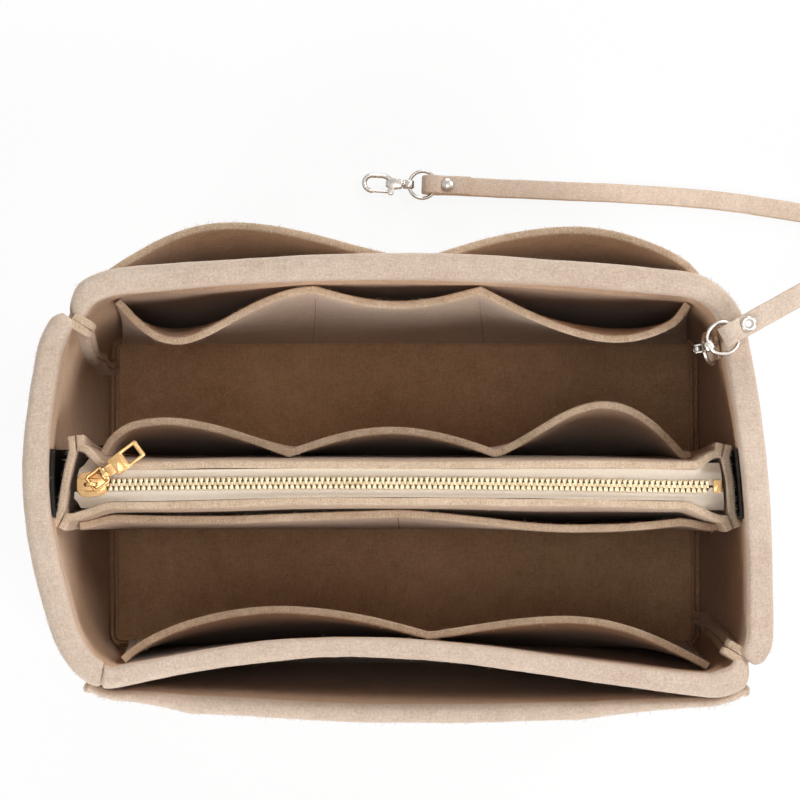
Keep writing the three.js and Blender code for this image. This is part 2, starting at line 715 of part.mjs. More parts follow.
function pullTab() {
  const { length, width, thick, shoulder, corner } = TAB;
  const { radius, bore, half } = TAB_KNUCKLE;
  const outline = [
    [0, -half],
    [shoulder - corner, -half],
    [shoulder, -width / 2],
    [length - corner, -width / 2],
    [length, -width / 2 + corner],
    [length, width / 2 - corner],
    [length - corner, width / 2],
    [shoulder, width / 2],
    [shoulder - corner, half],
    [0, half],
  ];
  const plate = slab(outline, -thick / 2, thick / 2);
  const barrel = rod(radius, [0, -half, 0], [0, half, 0], 16);
  const hole = rod(bore, [0, -width, 0], [0, width, 0], 12);
  const { from, to, half: open } = TAB_WINDOW;
  return cut(join(plate, barrel), hole, box([from, -open, -thick], [to, open, thick]));
}

// D-ring in its own frame: the bar lies on Y, and the bow reaches out along X.
function dRing() {
  const { half, leg, wire: radius } = D_RING;
  const corner = 1.2;
  const path = [
    new THREE.Vector2(0, 0),
    ...arc(corner, -half + corner, corner, 180, 270, 3),
    ...arc(leg, 0, half, -90, 90, 16),
    ...arc(corner, half - corner, corner, 90, 180, 3),
  ];
  return wire(path, radius, 8, true);
}

// Felt tab that holds the D-ring's bar: a loop, and a tongue that is sewn flat to the wall.
function ringTab(bar) {
  const { layer, width, above, below, reach } = RING_TAB;
  const bore = D_RING.wire + CLEAR;
  const half = width / 2;
  const loop = rod(bore + layer, [0, -half, 0], [0, half, 0], 16);
  const bridge = box([0, -half, -layer], [reach - CLEAR - layer / 2, half, layer]);
  const turn = half / (WIDTH - 2 * BASE_RADIUS);
  const stations = steps(D_RING_STATION - turn, D_RING_STATION + turn, 4);
  const pathAt = (z) => stations.map((station) => inset(station, innerDepth(z) + CLEAR, z));
  const tongue = standingSheet(pathAt, steps(bar.z - below, bar.z + above, 4), layer);
  const hole = rod(bore, [0, -width, 0], [0, width, 0], 12);
  const yaw = Math.atan2(wallOut.y, wallOut.x);
  [loop, bridge, hole].forEach((piece) => piece.rotateZ(yaw).translate(bar.x, bar.y, bar.z));
  return cut(join(loop, bridge, tongue), hole);
}

// Swivel clasp, drawn along X from the middle of its eye to the tip of its hook.
function claspSwivel() {
  const { eye, eyeHole, eyeWidth, post, head, bodyTo } = CLASP;
  const half = eyeWidth / 2;
  const headFrom = bodyTo - 0.8;
  const tube = rod(eye, [0, -half, 0], [0, half, 0], 16);
  const stem = rod(post, [eye - 0.4, 0, 0], [headFrom + 0.2, 0, 0], 12);
  const end = rod(head, [headFrom, 0, 0], [headFrom + 0.6, 0, 0], 12);
  return cut(join(tube, stem, end), rod(eyeHole, [0, -eyeWidth, 0], [0, eyeWidth, 0], 12));
}

function claspHook() {
  const { bodyFrom, bodyTo, bodyHalf, thick, bore, recess, bar, reach, tip } = CLASP;
  const { pinX, pinY, ear, pin, gate } = CLASP;
  const half = thick / 2;
  const bowX = tip - reach;
  const body = slab(
    [
      [bodyFrom, -bodyHalf + 0.8],
      [bodyFrom + 0.8, -bodyHalf],
      [pinX - ear, -bodyHalf],
      [pinX - ear, pinY],
      ...arc(pinX, pinY, ear, 180, 360, 6).slice(1).map((p) => [p.x, p.y]),
      [pinX + ear, -bodyHalf],
      [bodyTo, -bodyHalf],
      [bodyTo, bodyHalf],
      [bodyFrom + 0.8, bodyHalf],
      [bodyFrom, bodyHalf - 0.8],
    ],
    -half,
    half,
  );
  const path = [
    new THREE.Vector2(bodyTo - 2, bodyHalf - 0.6),
    new THREE.Vector2(bodyTo + 0.6, reach),
    ...arc(bowX, 0, reach, 90, -90, 12),
    new THREE.Vector2(bowX - 0.6, -reach),
  ];
  const hook = wire(path, bar, 8, false);
  const slot = gate + CLEAR;
  const inside = -recess - 0.15;
  const tools = [
    rod(bore, [0, 0, 0], [tip, 0, 0], 12),
    rod(recess, [bodyTo - 0.8 - CLEAR, 0, 0], [bodyTo + 1, 0, 0], 12),
    box([pinX - ear - CLEAR, pinY - 2 * ear, -slot], [bodyTo + 1, inside, slot]),
    rod(pin + CLEAR, [pinX, pinY, -thick], [pinX, pinY, thick], 12),
  ];
  return cut(join(body, hook), ...tools);
}

// Sprung gate, drawn from its own pin.
function claspGate() {
  const { gate, gateBore, ear, reach, tip, bar, pinX, pinY } = CLASP;
  const nose = tip - reach - 0.6 - CLEAR - pinX;
  const lift = -reach - pinY;
  const leaf = slab(
    [
      [0, -gate],
      [nose, lift - gate],
      [nose, lift + gate],
      [0, gate],
    ],
    -gate,
    gate,
  );
  const knuckle = rod(ear - 0.1, [0, 0, -gate], [0, 0, gate], 14);
  return cut(join(leaf, knuckle), rod(gateBore, [0, 0, -bar * 2], [0, 0, bar * 2], 12));
}

function claspPin() {
  const half = CLASP.thick / 2;
  return rod(CLASP.pin, [0, 0, -half], [0, 0, half], 10);
}

// Rivet halves on the Z axis: the domed cap stands up, and the stud's flange lies under its shaft.
function rivetCap() {
  const { head, dome } = RIVET;
  const profile = arc(0, 0, 1, 0, 90, 4).map((p) => new THREE.Vector2(head * p.x, dome * p.y));
  profile[profile.length - 1].x = 0;
  return new THREE.LatheGeometry([new THREE.Vector2(0, 0), ...profile], 16).rotateX(Math.PI / 2);
}

function rivetStud() {
  const { head, flange, shaft, dimple } = RIVET;
  const length = 2 * STRAP + 2 * CLEAR + CLEAR;
  const points = [
    [0, -flange * 0.5],
    [dimple, -flange * 0.6],
    [dimple + 0.5, -flange],
    [head - 0.4, -flange],
    [head, -flange * 0.6],
    [head, 0],
    [shaft, 0],
    [shaft, length],
    [0, length],
  ].map(([r, z]) => new THREE.Vector2(r, z));
  return new THREE.LatheGeometry(points, 16).rotateX(Math.PI / 2);
}

// One end of the strap as [reach, height] points from the ring's centre: in along the lower layer,
// round the turn, and back out along the upper layer, both drawn together past the ring's wire.
function strapEnd() {
  const open = STRAP / 2 + RING_WIRE + CLEAR;
  const shut = STRAP / 2 + CLEAR / 2;
  const inner = open;
  const outer = STRAP / 2 + 0.4;
  const bend = Math.acos(1 - (open - shut) / (inner + outer));
  const swing = (inner + outer) * Math.sin(bend);
  const turned = radToDeg(bend);
  const layer = [
    ...arc(RING_RADIUS, 0, inner, 90, 90 - turned, 2),
    ...arc(RING_RADIUS + swing, shut + outer, outer, 270 - turned, 270, 2).slice(1),
    new THREE.Vector2(RIVET_REACH, shut),
    new THREE.Vector2(FLAP_REACH - 6, shut),
    new THREE.Vector2(FLAP_REACH, shut),
  ];
  const lower = layer.map((p) => new THREE.Vector2(p.x, -p.y)).reverse();
  const turn = arc(LOOP_CENTRE, 0, open, 270, 90, 8);
  return [...lower, ...turn, ...layer];
}

// Places along the strap's near end, by the rim, and its free end, on the floor.
const upward = new THREE.Vector3(0, 0, 1);
const headingOf = (yaw) => new THREE.Vector3(Math.cos(degToRad(yaw)), Math.sin(degToRad(yaw)), 0);
function tilted(heading, tilt) {
  const level = heading.clone().multiplyScalar(Math.cos(degToRad(tilt)));
  return level.addScaledVector(upward, Math.sin(degToRad(tilt)));
}

const apexReach = D_RING.leg + D_RING.half;
const hookSeat = CLASP.tip - CLASP.bar - D_RING.wire - CLEAR;
const nearOut = tilted(headingOf(NEAR_YAW), RING_TILT);
const nearAcross = new THREE.Vector3().crossVectors(upward, headingOf(NEAR_YAW));
const nearUp = new THREE.Vector3().crossVectors(nearOut, nearAcross);
const nearRingZ = HEIGHT + RING_ABOVE_RIM;
const nearEyeZ = nearRingZ - RING_RADIUS * nearOut.z;
const slope = degToRad(D_RING.slope);
const barZ = nearEyeZ - hookSeat - apexReach * Math.sin(slope);
const wallPoint = raise(inset(D_RING_STATION, innerDepth(barZ), barZ), barZ);
const wallAlong = outlineAt(D_RING_STATION, barZ).tangent;
const wallOut = new THREE.Vector3(wallAlong.y, -wallAlong.x, 0);
const bar = wallPoint.clone().addScaledVector(wallOut, -RING_TAB.reach);
const nearEye = bar.clone().addScaledVector(wallOut, -apexReach * Math.cos(slope)).setZ(nearEyeZ);
const nearRing = nearEye.clone().addScaledVector(nearOut, RING_RADIUS);

const freeOut = headingOf(FREE_YAW);
const freeAcross = new THREE.Vector3().crossVectors(upward, freeOut);
const freeTilt = Math.asin((FREE_LOOP_HEIGHT - FREE_EYE_HEIGHT) / (2 * RING_RADIUS));
const freeRingOut = tilted(freeOut, radToDeg(freeTilt));
const freeRingUp = new THREE.Vector3().crossVectors(freeRingOut, freeAcross);
const freeRing = new THREE.Vector3(...FREE_RING, (FREE_LOOP_HEIGHT + FREE_EYE_HEIGHT) / 2);
const freeEye = freeRing.clone().addScaledVector(freeRingOut, -RING_RADIUS);
const freeLoop = new THREE.Vector3(freeRing.x, freeRing.y, FREE_LOOP_HEIGHT);

const place = (origin, out, up, point) =>
  origin.clone().addScaledVector(out, point.x).addScaledVector(up, point.y);

function strap() {
  const near = strapEnd().map((point) => place(nearRing, nearOut, nearUp, point));
  const free = strapEnd().map((point) => place(freeLoop, freeOut, upward, point));
  const route = STRAP_ROUTE.map((point) => new THREE.Vector3(...point));
  const between = [near.at(-2), near.at(-1), ...route, free[0], free[1]];
  const laid = new THREE.CatmullRomCurve3(between, false, "centripetal").getPoints(44);
  const path = [...near.slice(0, -2), ...laid, ...free.slice(2)];
  const turnOver = near.length - 2 + laid.length / 2;
  const rings = path.map((point, i) => {
    const before = path[Math.max(i - 1, 0)];
    const after = path[Math.min(i + 1, path.length - 1)];
    const along = after.clone().sub(before).normalize();
    const share = smoothstep(i, turnOver - 16, turnOver + 16);
    const across = nearAcross.clone().lerp(freeAcross, share);
    across.addScaledVector(along, -across.dot(along)).normalize();
    const face = new THREE.Vector3().crossVectors(along, across);
    return [
      [1, 1],
      [-1, 1],
      [-1, -1],
      [1, -1],
    ].map(([w, t]) => {
      const edge = point.clone().addScaledVector(across, (w * STRAP_WIDTH) / 2);
      return edge.addScaledVector(face, (t * STRAP) / 2);
    });
  });
  const holes = [
    [nearRing, nearOut, nearUp],
    [freeLoop, freeOut, upward],
  ].map(([origin, out, up]) => {
    const low = place(origin, out, up, new THREE.Vector2(RIVET_REACH, -2 * STRAP));
    const high = place(origin, out, up, new THREE.Vector2(RIVET_REACH, 2 * STRAP));
    return rod(RIVET.hole, low.toArray(), high.toArray(), 12);
  });
  return cut(loft(rings), ...holes);
}

// Putting it together
function mesh(name, geometry, material) {
  geometry.computeVertexNormals();
  const piece = new THREE.Mesh(geometry, material);
  piece.name = name;
  return piece;
}

function group(...children) {
  const made = new THREE.Group();
  made.add(...children);
  return made;
}

// A group whose X, Y and Z axes lie along the given directions.
function framed(origin, x, y, z, ...children) {
  const made = group(...children);
  made.quaternion.setFromRotationMatrix(new THREE.Matrix4().makeBasis(x, y, z));
  made.position.copy(origin);
  return made;
}

function clasp(prefix, origin, x, y, z, eyeTurn) {
  const swivel = mesh(`${prefix}_swivel`, claspSwivel(), nickel);
  swivel.rotation.x = eyeTurn;
  const gate = mesh(`${prefix}_gate`, claspGate(), nickel);
  gate.position.set(CLASP.pinX, CLASP.pinY, 0);
  const pin = mesh(`${prefix}_gate_pin`, claspPin(), nickel);
  pin.position.copy(gate.position);
  return framed(origin, x, y, z, swivel, mesh(`${prefix}_hook`, claspHook(), nickel), gate, pin);
}

function rivet(prefix, origin, out, up, capUp) {
  const seat = STRAP + CLEAR / 2 + CLEAR;
  const turned = capUp ? up : up.clone().negate();
  const across = new THREE.Vector3().crossVectors(turned, out);
  const cap = mesh(`${prefix}_rivet_cap`, rivetCap(), nickel);
  cap.position.z = seat;
  const stud = mesh(`${prefix}_rivet_stud`, rivetStud(), nickel);
  stud.position.z = -seat;
  const centre = place(origin, out, up, new THREE.Vector2(RIVET_REACH, 0));
  return framed(centre, out, across, turned, cap, stud);
}

const strapRing = (prefix) =>
  mesh(`${prefix}_ring`, new THREE.TorusGeometry(RING_RADIUS, RING_WIRE, 8, 28), nickel);

const slopeOut = wallOut.clone().multiplyScalar(-Math.cos(slope)).setZ(Math.sin(slope));
const dRingAcross = new THREE.Vector3().crossVectors(wallOut, upward);
const dRingUp = new THREE.Vector3().crossVectors(slopeOut, dRingAcross);

const sewnBox = group(
  mesh("base_panel", basePanel(), felt),
  mesh("back_right_wall", wallStrip(1, 5), felt),
  mesh("left_front_wall", wallStrip(5, 9), felt),
  mesh("front_pocket", frontPocket(), felt),
  mesh("back_pocket", boxPocket(2, BACK_POCKET, false), felt),
  mesh("inner_back_pocket", boxPocket(2, INNER_BACK_POCKET, true), felt),
  mesh("inner_front_pocket", boxPocket(0, INNER_FRONT_POCKET, true), felt),
  mesh("right_wall_patch", wallPatch(1), patchBlack),
  mesh("left_wall_patch", wallPatch(3), patchBlack),
);
const ringMount = mesh("ring_tab", ringTab(bar), felt);
const hangingRing = framed(bar, slopeOut, dRingAcross, dRingUp, mesh("d_ring", dRing(), nickel));

const link = mesh("pull_link", pullLink(), gold);
const tab = mesh("pull_tab", pullTab(), gold);
tab.position.x = LINK.spacing;
const pull = group(link, tab);
pull.position.set(SLIDER_X, 0, SLIDER_TOP + LINK.lift);
pull.rotation.z = degToRad(PULL_YAW);
const slide = mesh("slider", slider(), gold);
slide.position.set(SLIDER_X, 0, ZIP_Z);

const pouch = group(
  mesh("pouch_front_panel", pouchPanel(-1), felt),
  mesh("pouch_back_panel", pouchPanel(1), felt),
  mesh("pouch_left_end", pouchGusset(-1), felt),
  mesh("pouch_right_end", pouchGusset(1), felt),
  mesh("pouch_base", pouchBase(), felt),
  mesh("pouch_front_pocket", pouchPocket(-1, POUCH_FRONT_POCKET), felt),
  mesh("pouch_back_pocket", pouchPocket(1, POUCH_BACK_POCKET), felt),
  mesh("pouch_left_patch", pouchPatch(-1), patchBlack),
  mesh("pouch_right_patch", pouchPatch(1), patchBlack),
  mesh("zip_tape_front", zipTape(-1), tapeCream),
  mesh("zip_tape_back", zipTape(1), tapeCream),
  mesh("zip_teeth_front", zipTeeth(-1), gold),
  mesh("zip_teeth_back", zipTeeth(1), gold),
  mesh("zip_bottom_stop", bottomStop(), gold),
  mesh("zip_top_stop_front", topStop(-1), gold),
  mesh("zip_top_stop_back", topStop(1), gold),
  slide,
  pull,
);
pouch.position.set(POUCH_X, POUCH_Y, 0);

const down = new THREE.Vector3(0, 0, -1);
const eyeTurn = Math.atan2(-nearAcross.dot(dRingAcross), -nearAcross.dot(wallOut));
const looseStrap = group(
  mesh("strap", strap(), felt),
  framed(nearRing, nearOut, nearAcross, nearUp, strapRing("near")),
  rivet("near", nearRing, nearOut, nearUp, false),
  clasp("near", nearEye, down, wallOut, dRingAcross, eyeTurn),
  framed(freeRing, freeRingOut, freeAcross, freeRingUp, strapRing("free")),
  rivet("free", freeLoop, freeOut, upward, true),
  clasp("free", freeEye, freeOut.clone().negate(), freeAcross, down, 0),
);

// The origin is under the middle of the box, on the surface that it stands on.
const organizer = group(sewnBox, ringMount, hangingRing, pouch);
organizer.updateMatrixWorld(true);
const extent = new THREE.Box3().setFromObject(organizer, true);
const middle = extent.getCenter(new THREE.Vector3());
const centred = group(organizer, looseStrap);
centred.position.set(-middle.x, -middle.y, -extent.min.z);

export default group(centred);
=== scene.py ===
import cmath
import math
import random

import bmesh
import bpy
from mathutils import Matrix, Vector, noise


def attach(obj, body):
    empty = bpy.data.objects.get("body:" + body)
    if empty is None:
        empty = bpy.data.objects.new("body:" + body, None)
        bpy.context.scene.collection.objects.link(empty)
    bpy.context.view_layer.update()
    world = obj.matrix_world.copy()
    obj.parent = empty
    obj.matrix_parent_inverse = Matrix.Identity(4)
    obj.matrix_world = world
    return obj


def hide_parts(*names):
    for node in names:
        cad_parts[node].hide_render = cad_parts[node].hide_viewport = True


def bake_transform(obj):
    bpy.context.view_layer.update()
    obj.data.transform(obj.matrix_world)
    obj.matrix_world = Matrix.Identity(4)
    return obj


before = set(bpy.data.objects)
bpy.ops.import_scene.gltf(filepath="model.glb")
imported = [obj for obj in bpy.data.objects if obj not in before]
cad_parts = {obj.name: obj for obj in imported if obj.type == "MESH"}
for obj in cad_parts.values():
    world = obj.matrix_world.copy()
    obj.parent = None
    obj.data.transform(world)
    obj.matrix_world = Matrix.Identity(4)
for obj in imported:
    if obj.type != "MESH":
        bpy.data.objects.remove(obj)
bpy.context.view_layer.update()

# Base panel: a sheet of pressed felt cut to the floor of the box and sewn to the foot of the walls.
# The seam turns its edge up on the inside, as a soft double welt that shows along both ends.
MM = 0.001
BASE_MIDDLE = (2.1295, -7.7754)  # middle of the box's base in the part's frame, mm
LENGTH = 274
WIDTH = 152
HEIGHT = 160
BASE_RADIUS = 14
FELT = 3
CLEAR = 0.3
WALL = 7
RIM = 10
RIM_DEPTH = 35
CORNERS = ((-1, -1, 4.6, 1.6, 25), (1, -1, 4.3, -2.9, 26), (1, 1, -9, 6.2, 22.5), (-1, 1, -4.2, 7.8, 36))
BOWS = (-12.9, 3.1, 5.9, 6.8)
BOW_SKEWS = (1.28, 1, 1, 1)
ARC_HANDLE = 0.5523
WELT_WIDTH = 3.8
WELT_END_RISE = 3
WELT_SIDE_RISE = 1.2
SHARP_EDGE = math.radians(42)


def smooth(value, low, high):
    t = min(1, max(0, (value - low) / (high - low)))
    return t * t * (3 - 2 * t)


def mix(a, b, t):
    return a + (b - a) * t


def steps(low, high, count):
    return [mix(low, high, i / count) for i in range(count + 1)]


def around(count):
    """Angles round a full turn."""
    return steps(0, 2 * math.pi, count)[:-1]


def rise(z):
    return math.sin(math.pi / 2 * min(1, z / HEIGHT))


def corner_radius(index, z):
    return mix(BASE_RADIUS, CORNERS[index % 4][4], rise(z))


def corner_at(index, z):
    x, y, lean_x, lean_y, _ = CORNERS[index % 4]
    return complex(x * LENGTH / 2 + lean_x * rise(z), y * WIDTH / 2 + lean_y * rise(z))


def side_at(index, t, z):
    first = corner_at(index, z)
    last = corner_at(index + 1, z)
    along = (last - first) / abs(last - first)
    first += along * corner_radius(index, z)
    last -= along * corner_radius(index + 1, z)
    bow = BOWS[index % 4] * rise(z)
    skew = BOW_SKEWS[index % 4]
    left = (1 - t) ** skew
    turn = -math.pi * skew * (1 - t) ** (skew - 1)
    slope = bow * turn * math.cos(math.pi * left) / abs(last - first)
    point = mix(first, last, t) - 1j * along * bow * math.sin(math.pi * left)
    tangent = along - 1j * along * slope
    return point, tangent / abs(tangent)


def corner_curve(index, t, z):
    start, leave = side_at(index + 3, 1, z)
    end, arrive = side_at(index, 0, z)
    handle = ARC_HANDLE * corner_radius(index, z)
    a, b, c, d = start, start + leave * handle, end - arrive * handle, end
    u = 1 - t
    point = a * u**3 + 3 * b * u * u * t + 3 * c * u * t * t + d * t**3
    tangent = (b - a) * u * u + 2 * (c - b) * u * t + (d - c) * t * t
    return point, tangent / abs(tangent)


def outline_at(station, z):
    """Plan point and direction at a station, 0 to 8 round the box, anticlockwise from the front left."""
    span = int(math.floor(station)) % 8
    t = station - math.floor(station)
    return side_at(span // 2, t, z) if span % 2 == 0 else corner_curve(span // 2 + 1, t, z)


def inset(station, depth, z):
    point, tangent = outline_at(station, z)
    return point + 1j * tangent * depth


def puff(z):
    return smooth(z, HEIGHT - RIM_DEPTH, HEIGHT - RIM / 2)


def outer_depth(z):
    return (RIM - WALL) / 2 * (1 - puff(z))


def inner_depth(z):
    return WALL + (RIM - WALL) / 2 * (1 + puff(z))


def at(point, z):
    return (point.real, point.imag, z)


def ripple(point, size, height):
    """A smooth unevenness, in mm, of the given grain size and height."""
    return noise.noise(Vector(point) / size) * height


def loft(rings, closed=False, finish=None, end_finish=0, capped=True):
    """Points and faces through rings of an even, equal count; a capped end is bridged side to side."""
    count = len(rings[0])
    points = [point for ring in rings for point in ring]
    faces = []
    for r in range(len(rings) if closed else len(rings) - 1):
        a = r * count
        b = (r + 1) % len(rings) * count
        for i in range(count):
            j = (i + 1) % count
            faces.append(((a + i, a + j, b + j, b + i), finish(i) if finish else 0))
    if capped and not closed:
        for a in (0, (len(rings) - 1) * count):
            for i in range(count // 2 - 1):
                corners = (a + i, a + i + 1, a + count - 2 - i, a + count - 1 - i)
                faces.append((corners, end_finish))
    return points, faces


def joined(*parts):
    """Several lots of points and faces as one."""
    points, faces = [], []
    for more_points, more_faces in parts:
        start = len(points)
        points += more_points
        faces += [(tuple(start + i for i in corners), finish) for corners, finish in more_faces]
    return points, faces


def piece(name, made, *finishes):
    """A Blender object from points in mm round the middle of the base, and faces with their finishes."""
    points, faces = made
    mesh = bpy.data.meshes.new(name)
    shift_x, shift_y = BASE_MIDDLE
    placed = [((x + shift_x) * MM, (y + shift_y) * MM, z * MM) for x, y, z in points]
    mesh.from_pydata(placed, [], [corners for corners, _ in faces])
    for finish in finishes:
        mesh.materials.append(finish)
    mesh.polygons.foreach_set("material_index", [finish for _, finish in faces])
    shell = bmesh.new()
    shell.from_mesh(mesh)
    bmesh.ops.recalc_face_normals(shell, faces=shell.faces)
    shell.to_mesh(mesh)
    shell.free()
    mesh.shade_smooth()
    mesh.set_sharp_from_angle(angle=SHARP_EDGE)
    made_object = bpy.data.objects.new(name, mesh)
    bpy.context.collection.objects.link(made_object)
    return made_object


def fasten(made, body, slot, *nodes):
    """Fixes a piece to its body, in place of its solids in the CAD."""
    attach(made, body)
    for node in nodes:
        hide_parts(node)


class Shade:
    """One output of a finish's nodes; sums of shades and numbers add Math nodes."""

    def __init__(self, tree, socket=None):
        self.tree = tree
        self.socket = socket

    def node(self, kind, settings=(), inputs=(), out=0):
        made = self.tree.nodes.new(kind)
        for name, value in dict(settings).items():
            setattr(made, name, value)
        for name, value in dict(inputs).items():
            if isinstance(value, Shade):
                self.tree.links.new(value.socket, made.inputs[name])
            else:
                made.inputs[name].default_value = value
        return Shade(self.tree, made.outputs[out])

    def sum(self, operation, first, second):
        return self.node("ShaderNodeMath", {"operation": operation}, {0: first, 1: second})

    def __add__(self, other):
        return self.sum("ADD", self, other)

    def __sub__(self, other):
        return self.sum("SUBTRACT", self, other)

    def __rsub__(self, other):
        return self.sum("SUBTRACT", other, self)

    def __mul__(self, other):
        return self.sum("MULTIPLY", self, other)

    __radd__ = __add__
    __rmul__ = __mul__

    def grain(self, size, detail=2, rough=0.5, warp=0):
        """Noise of a grain size in mm, on this vector."""
        values = {"Vector": self, "Scale": 1 / (size * MM), "Detail": detail, "Roughness": rough}
        return self.node("ShaderNodeTexNoise", {}, {**values, "Distortion": warp})

    def stretched(self, x, y, z):
        return self.node("ShaderNodeVectorMath", {"operation": "MULTIPLY"}, {0: self, 1: (x, y, z)})

    def tint(self, share, first, second):
        values = {0: share, 6: first, 7: second}
        return self.node("ShaderNodeMix", {"data_type": "RGBA", "clamp_factor": True}, values, out=2)

    def bump(self, strength, depth):
        """This height as a bumped normal, depth in mm."""
        values = {"Strength": strength, "Distance": depth * MM, "Height": self}
        return self.node("ShaderNodeBump", {}, values)


def new_finish(name):
    """A new material: its Principled shader, and the vector over the piece that its patterns use."""
    made = bpy.data.materials.new(name)
    made.use_nodes = True
    tree = made.node_tree
    vector = Shade(tree).node("ShaderNodeTexCoord", out="Object")
    return made, tree.nodes["Principled BSDF"], vector


def dress(skin, **sockets):
    """Sets a shader's sockets to numbers and colours, or links shades to them."""
    for name, value in sockets.items():
        socket = skin.inputs[name.replace("_", " ")]
        if isinstance(value, Shade):
            value.tree.links.new(value.socket, socket)
        else:
            socket.default_value = value


def felt_finish(name, deep, pale, contrast, fleck, nap):
    """Pressed felt: short fibres lying every way, with soft blotches and a faint nap."""
    made, skin, spot = new_finish(name)
    fibres = spot.stretched(1, 0.16, 1).grain(0.55, 3, 0.6, 0.6)
    crossed = spot.stretched(0.16, 1, 1).grain(0.55, 3, 0.6, 0.6)
    upright = spot.stretched(1, 1, 0.16).grain(0.55, 3, 0.6, 0.6)
    specks = spot.grain(fleck, 2, 0.7)
    blotch = spot.grain(7, 3, 0.6)
    cloud = spot.grain(60, 2)
    hair = (fibres + crossed + upright) * 0.333
    tone = 0.5 + (hair - 0.5) * 1.6 * contrast + (specks - 0.5) * contrast
    tone = tone + (blotch - 0.5) * 0.5 * contrast + (cloud - 0.5) * 0.5
    colour = spot.tint(tone, (*deep, 1), (*pale, 1))
    relief = (hair * 0.6 + specks * 0.4).bump(nap, 0.5)
    dress(skin, Base_Color=colour, Roughness=0.95, Normal=relief)
    dress(skin, Sheen_Weight=0.25, Sheen_Roughness=0.6, Sheen_Tint=(1, 0.93, 0.86, 1))
    dress(skin, Specular_IOR_Level=0.15)
    return made


felt = felt_finish("felt", (0.43, 0.31, 0.225), (0.75, 0.615, 0.505), 1.0, 0.9, 0.5)
# The next three are darker, browner copies of the same felt, painted shade for the inside of the box: one
# for the inner faces of the walls and the wall side of the pockets, one for the floors, and one between the
# two for the pockets and the pouch.
inner_felt = felt_finish("inner_felt", (0.36, 0.205, 0.11), (0.68, 0.45, 0.28), 1.0, 0.9, 0.5)
floor_felt = felt_finish("floor_felt", (0.42, 0.24, 0.125), (0.78, 0.5, 0.295), 1.1, 0.8, 0.6)
pocket_felt = felt_finish("pocket_felt", (0.4, 0.265, 0.175), (0.74, 0.57, 0.435), 1.0, 0.9, 0.5)
cut_felt = felt_finish("cut_felt", (0.4, 0.265, 0.16), (0.8, 0.63, 0.47), 1.25, 0.6, 0.8)

SIDE_COUNTS = (96, 48, 96, 48)
CORNER_COUNT = 20
box_stations = []
for span in range(8):
    count = SIDE_COUNTS[span // 2] if span % 2 == 0 else CORNER_COUNT
    box_stations += steps(span, span + 1, count)[:-1]


def welt_rise(station):
    """How high the welt stands: most at the two ends, little where the pockets hide it."""
    side = station % 4
    end = smooth(side, 1.15, 1.75) * (1 - smooth(side, 3.25, 3.85))
    return mix(WELT_SIDE_RISE, WELT_END_RISE, end)


WELT = ((-1.5, 0.3), (-0.2, 0.3), (0.1, 0.75), (0.8, 1), (1.4, 0.9), (1.8, 0.45), (2, 0.1), (2.2, 0.45),
        (2.7, 0.78), (3.2, 0.7), (3.6, 0.35), (WELT_WIDTH, 0))


def floor_ring(depth, height):
    ring = []
    for station in box_stations:
        spread = 1 + 0.12 * noise.noise(Vector((station * 9, 1.7, 0)))
        z = FELT + height * welt_rise(station) * (1 + 0.25 * noise.noise(Vector((station * 14, 0, 3))))
        edge = inset(station, inner_depth(0) + CLEAR + depth * spread, min(z, FELT))
        ring.append(at(edge, z if height else FELT))
    return ring


def shrunk(ring, share, z):
    return [(x * share, y * share, z) for x, y, _ in ring]


under_edge = [at(inset(station, inner_depth(0) - 1.5, 0), 0.2) for station in box_stations]
floor_rings = [shrunk(under_edge, share, 0) for share in (0.02, 0.5)] + [under_edge]
floor_rings += [floor_ring(depth, height) for depth, height in WELT]
inside_welt = floor_rings[-1]
for share in (0.94, 0.8, 0.65, 0.5, 0.35, 0.2, 0.02):
    uneven = [(x, y, FELT + ripple((x, y, 0), 30, 0.25)) for x, y, _ in shrunk(inside_welt, share, FELT)]
    floor_rings.append(uneven)
# The floor takes the darker floor felt: painted shade for the depth of the box.
base = piece("floor_panel", loft(floor_rings), floor_felt)
fasten(base, "box", "felt", "base_panel")

# Walls: two strips of felt folded over at the top, so that the rim is a soft double fold.
# They are sewn together at the back left and front right, where both raw edges turn inwards.
SEAM_SHARE = 0.6
CORNER_MM = 36
PINCH_LENGTH = 12
END_ROUND = 3.5
ROUND_STEPS = 16
FLANGE_DEPTH = 4.4
FLANGE_TOP = 157
SEAM_LEAN = 0.45
INNER_SQUARE = 0.42
OUTER_SQUARE = 0.8
PINCH_THIN = 0.3
PINCH_TUCK = 0.6
PINCH_RIM_TUCK = 2.6
END_DROP = 3
CREASE = 7.84
CREASE_WIDTH = 0.9
CREASE_THIN = 0.22
CREASE_DROP = 1.8
INNER_ROWS = 21
FRONT_SLIM = 2.4
UNDERCUT = 3.2


def leaning(station, z):
    """A station near a corner seam, which runs down to the end of the short side beside it."""
    gap = (station - SEAM_SHARE) % 4 - 1
    return station + SEAM_LEAN * (1 - smooth(abs(gap), 0, 0.9)) * (1 - smooth(z, 20, 150))


def slim(station, z):
    """How much thinner the pressed front wall is than the other walls, in mm."""
    along = (station + 0.3) % 8
    front = smooth(along, 0, 0.4) * (1 - 0.5 * smooth(along, 1, 1.2)) * (1 - smooth(along, 1.2, 1.5))
    return FRONT_SLIM * front * smooth(z, 30, 120)


def undercut(station, z):
    """How far the single felt below the back wall's rolled rim lies back from it, in mm."""
    back = smooth(station % 8, 3.9, 4.1) * (1 - smooth(station % 8, 4.85, 5.05))
    return UNDERCUT * back * smooth(z, 130, 136) * (1 - smooth(z, 148, 153))


def wall_face(station, z):
    """Depth of a wall's inner face."""
    return inner_depth(z) - slim(station, z) * (2 * inner_depth(z) / RIM - 1)


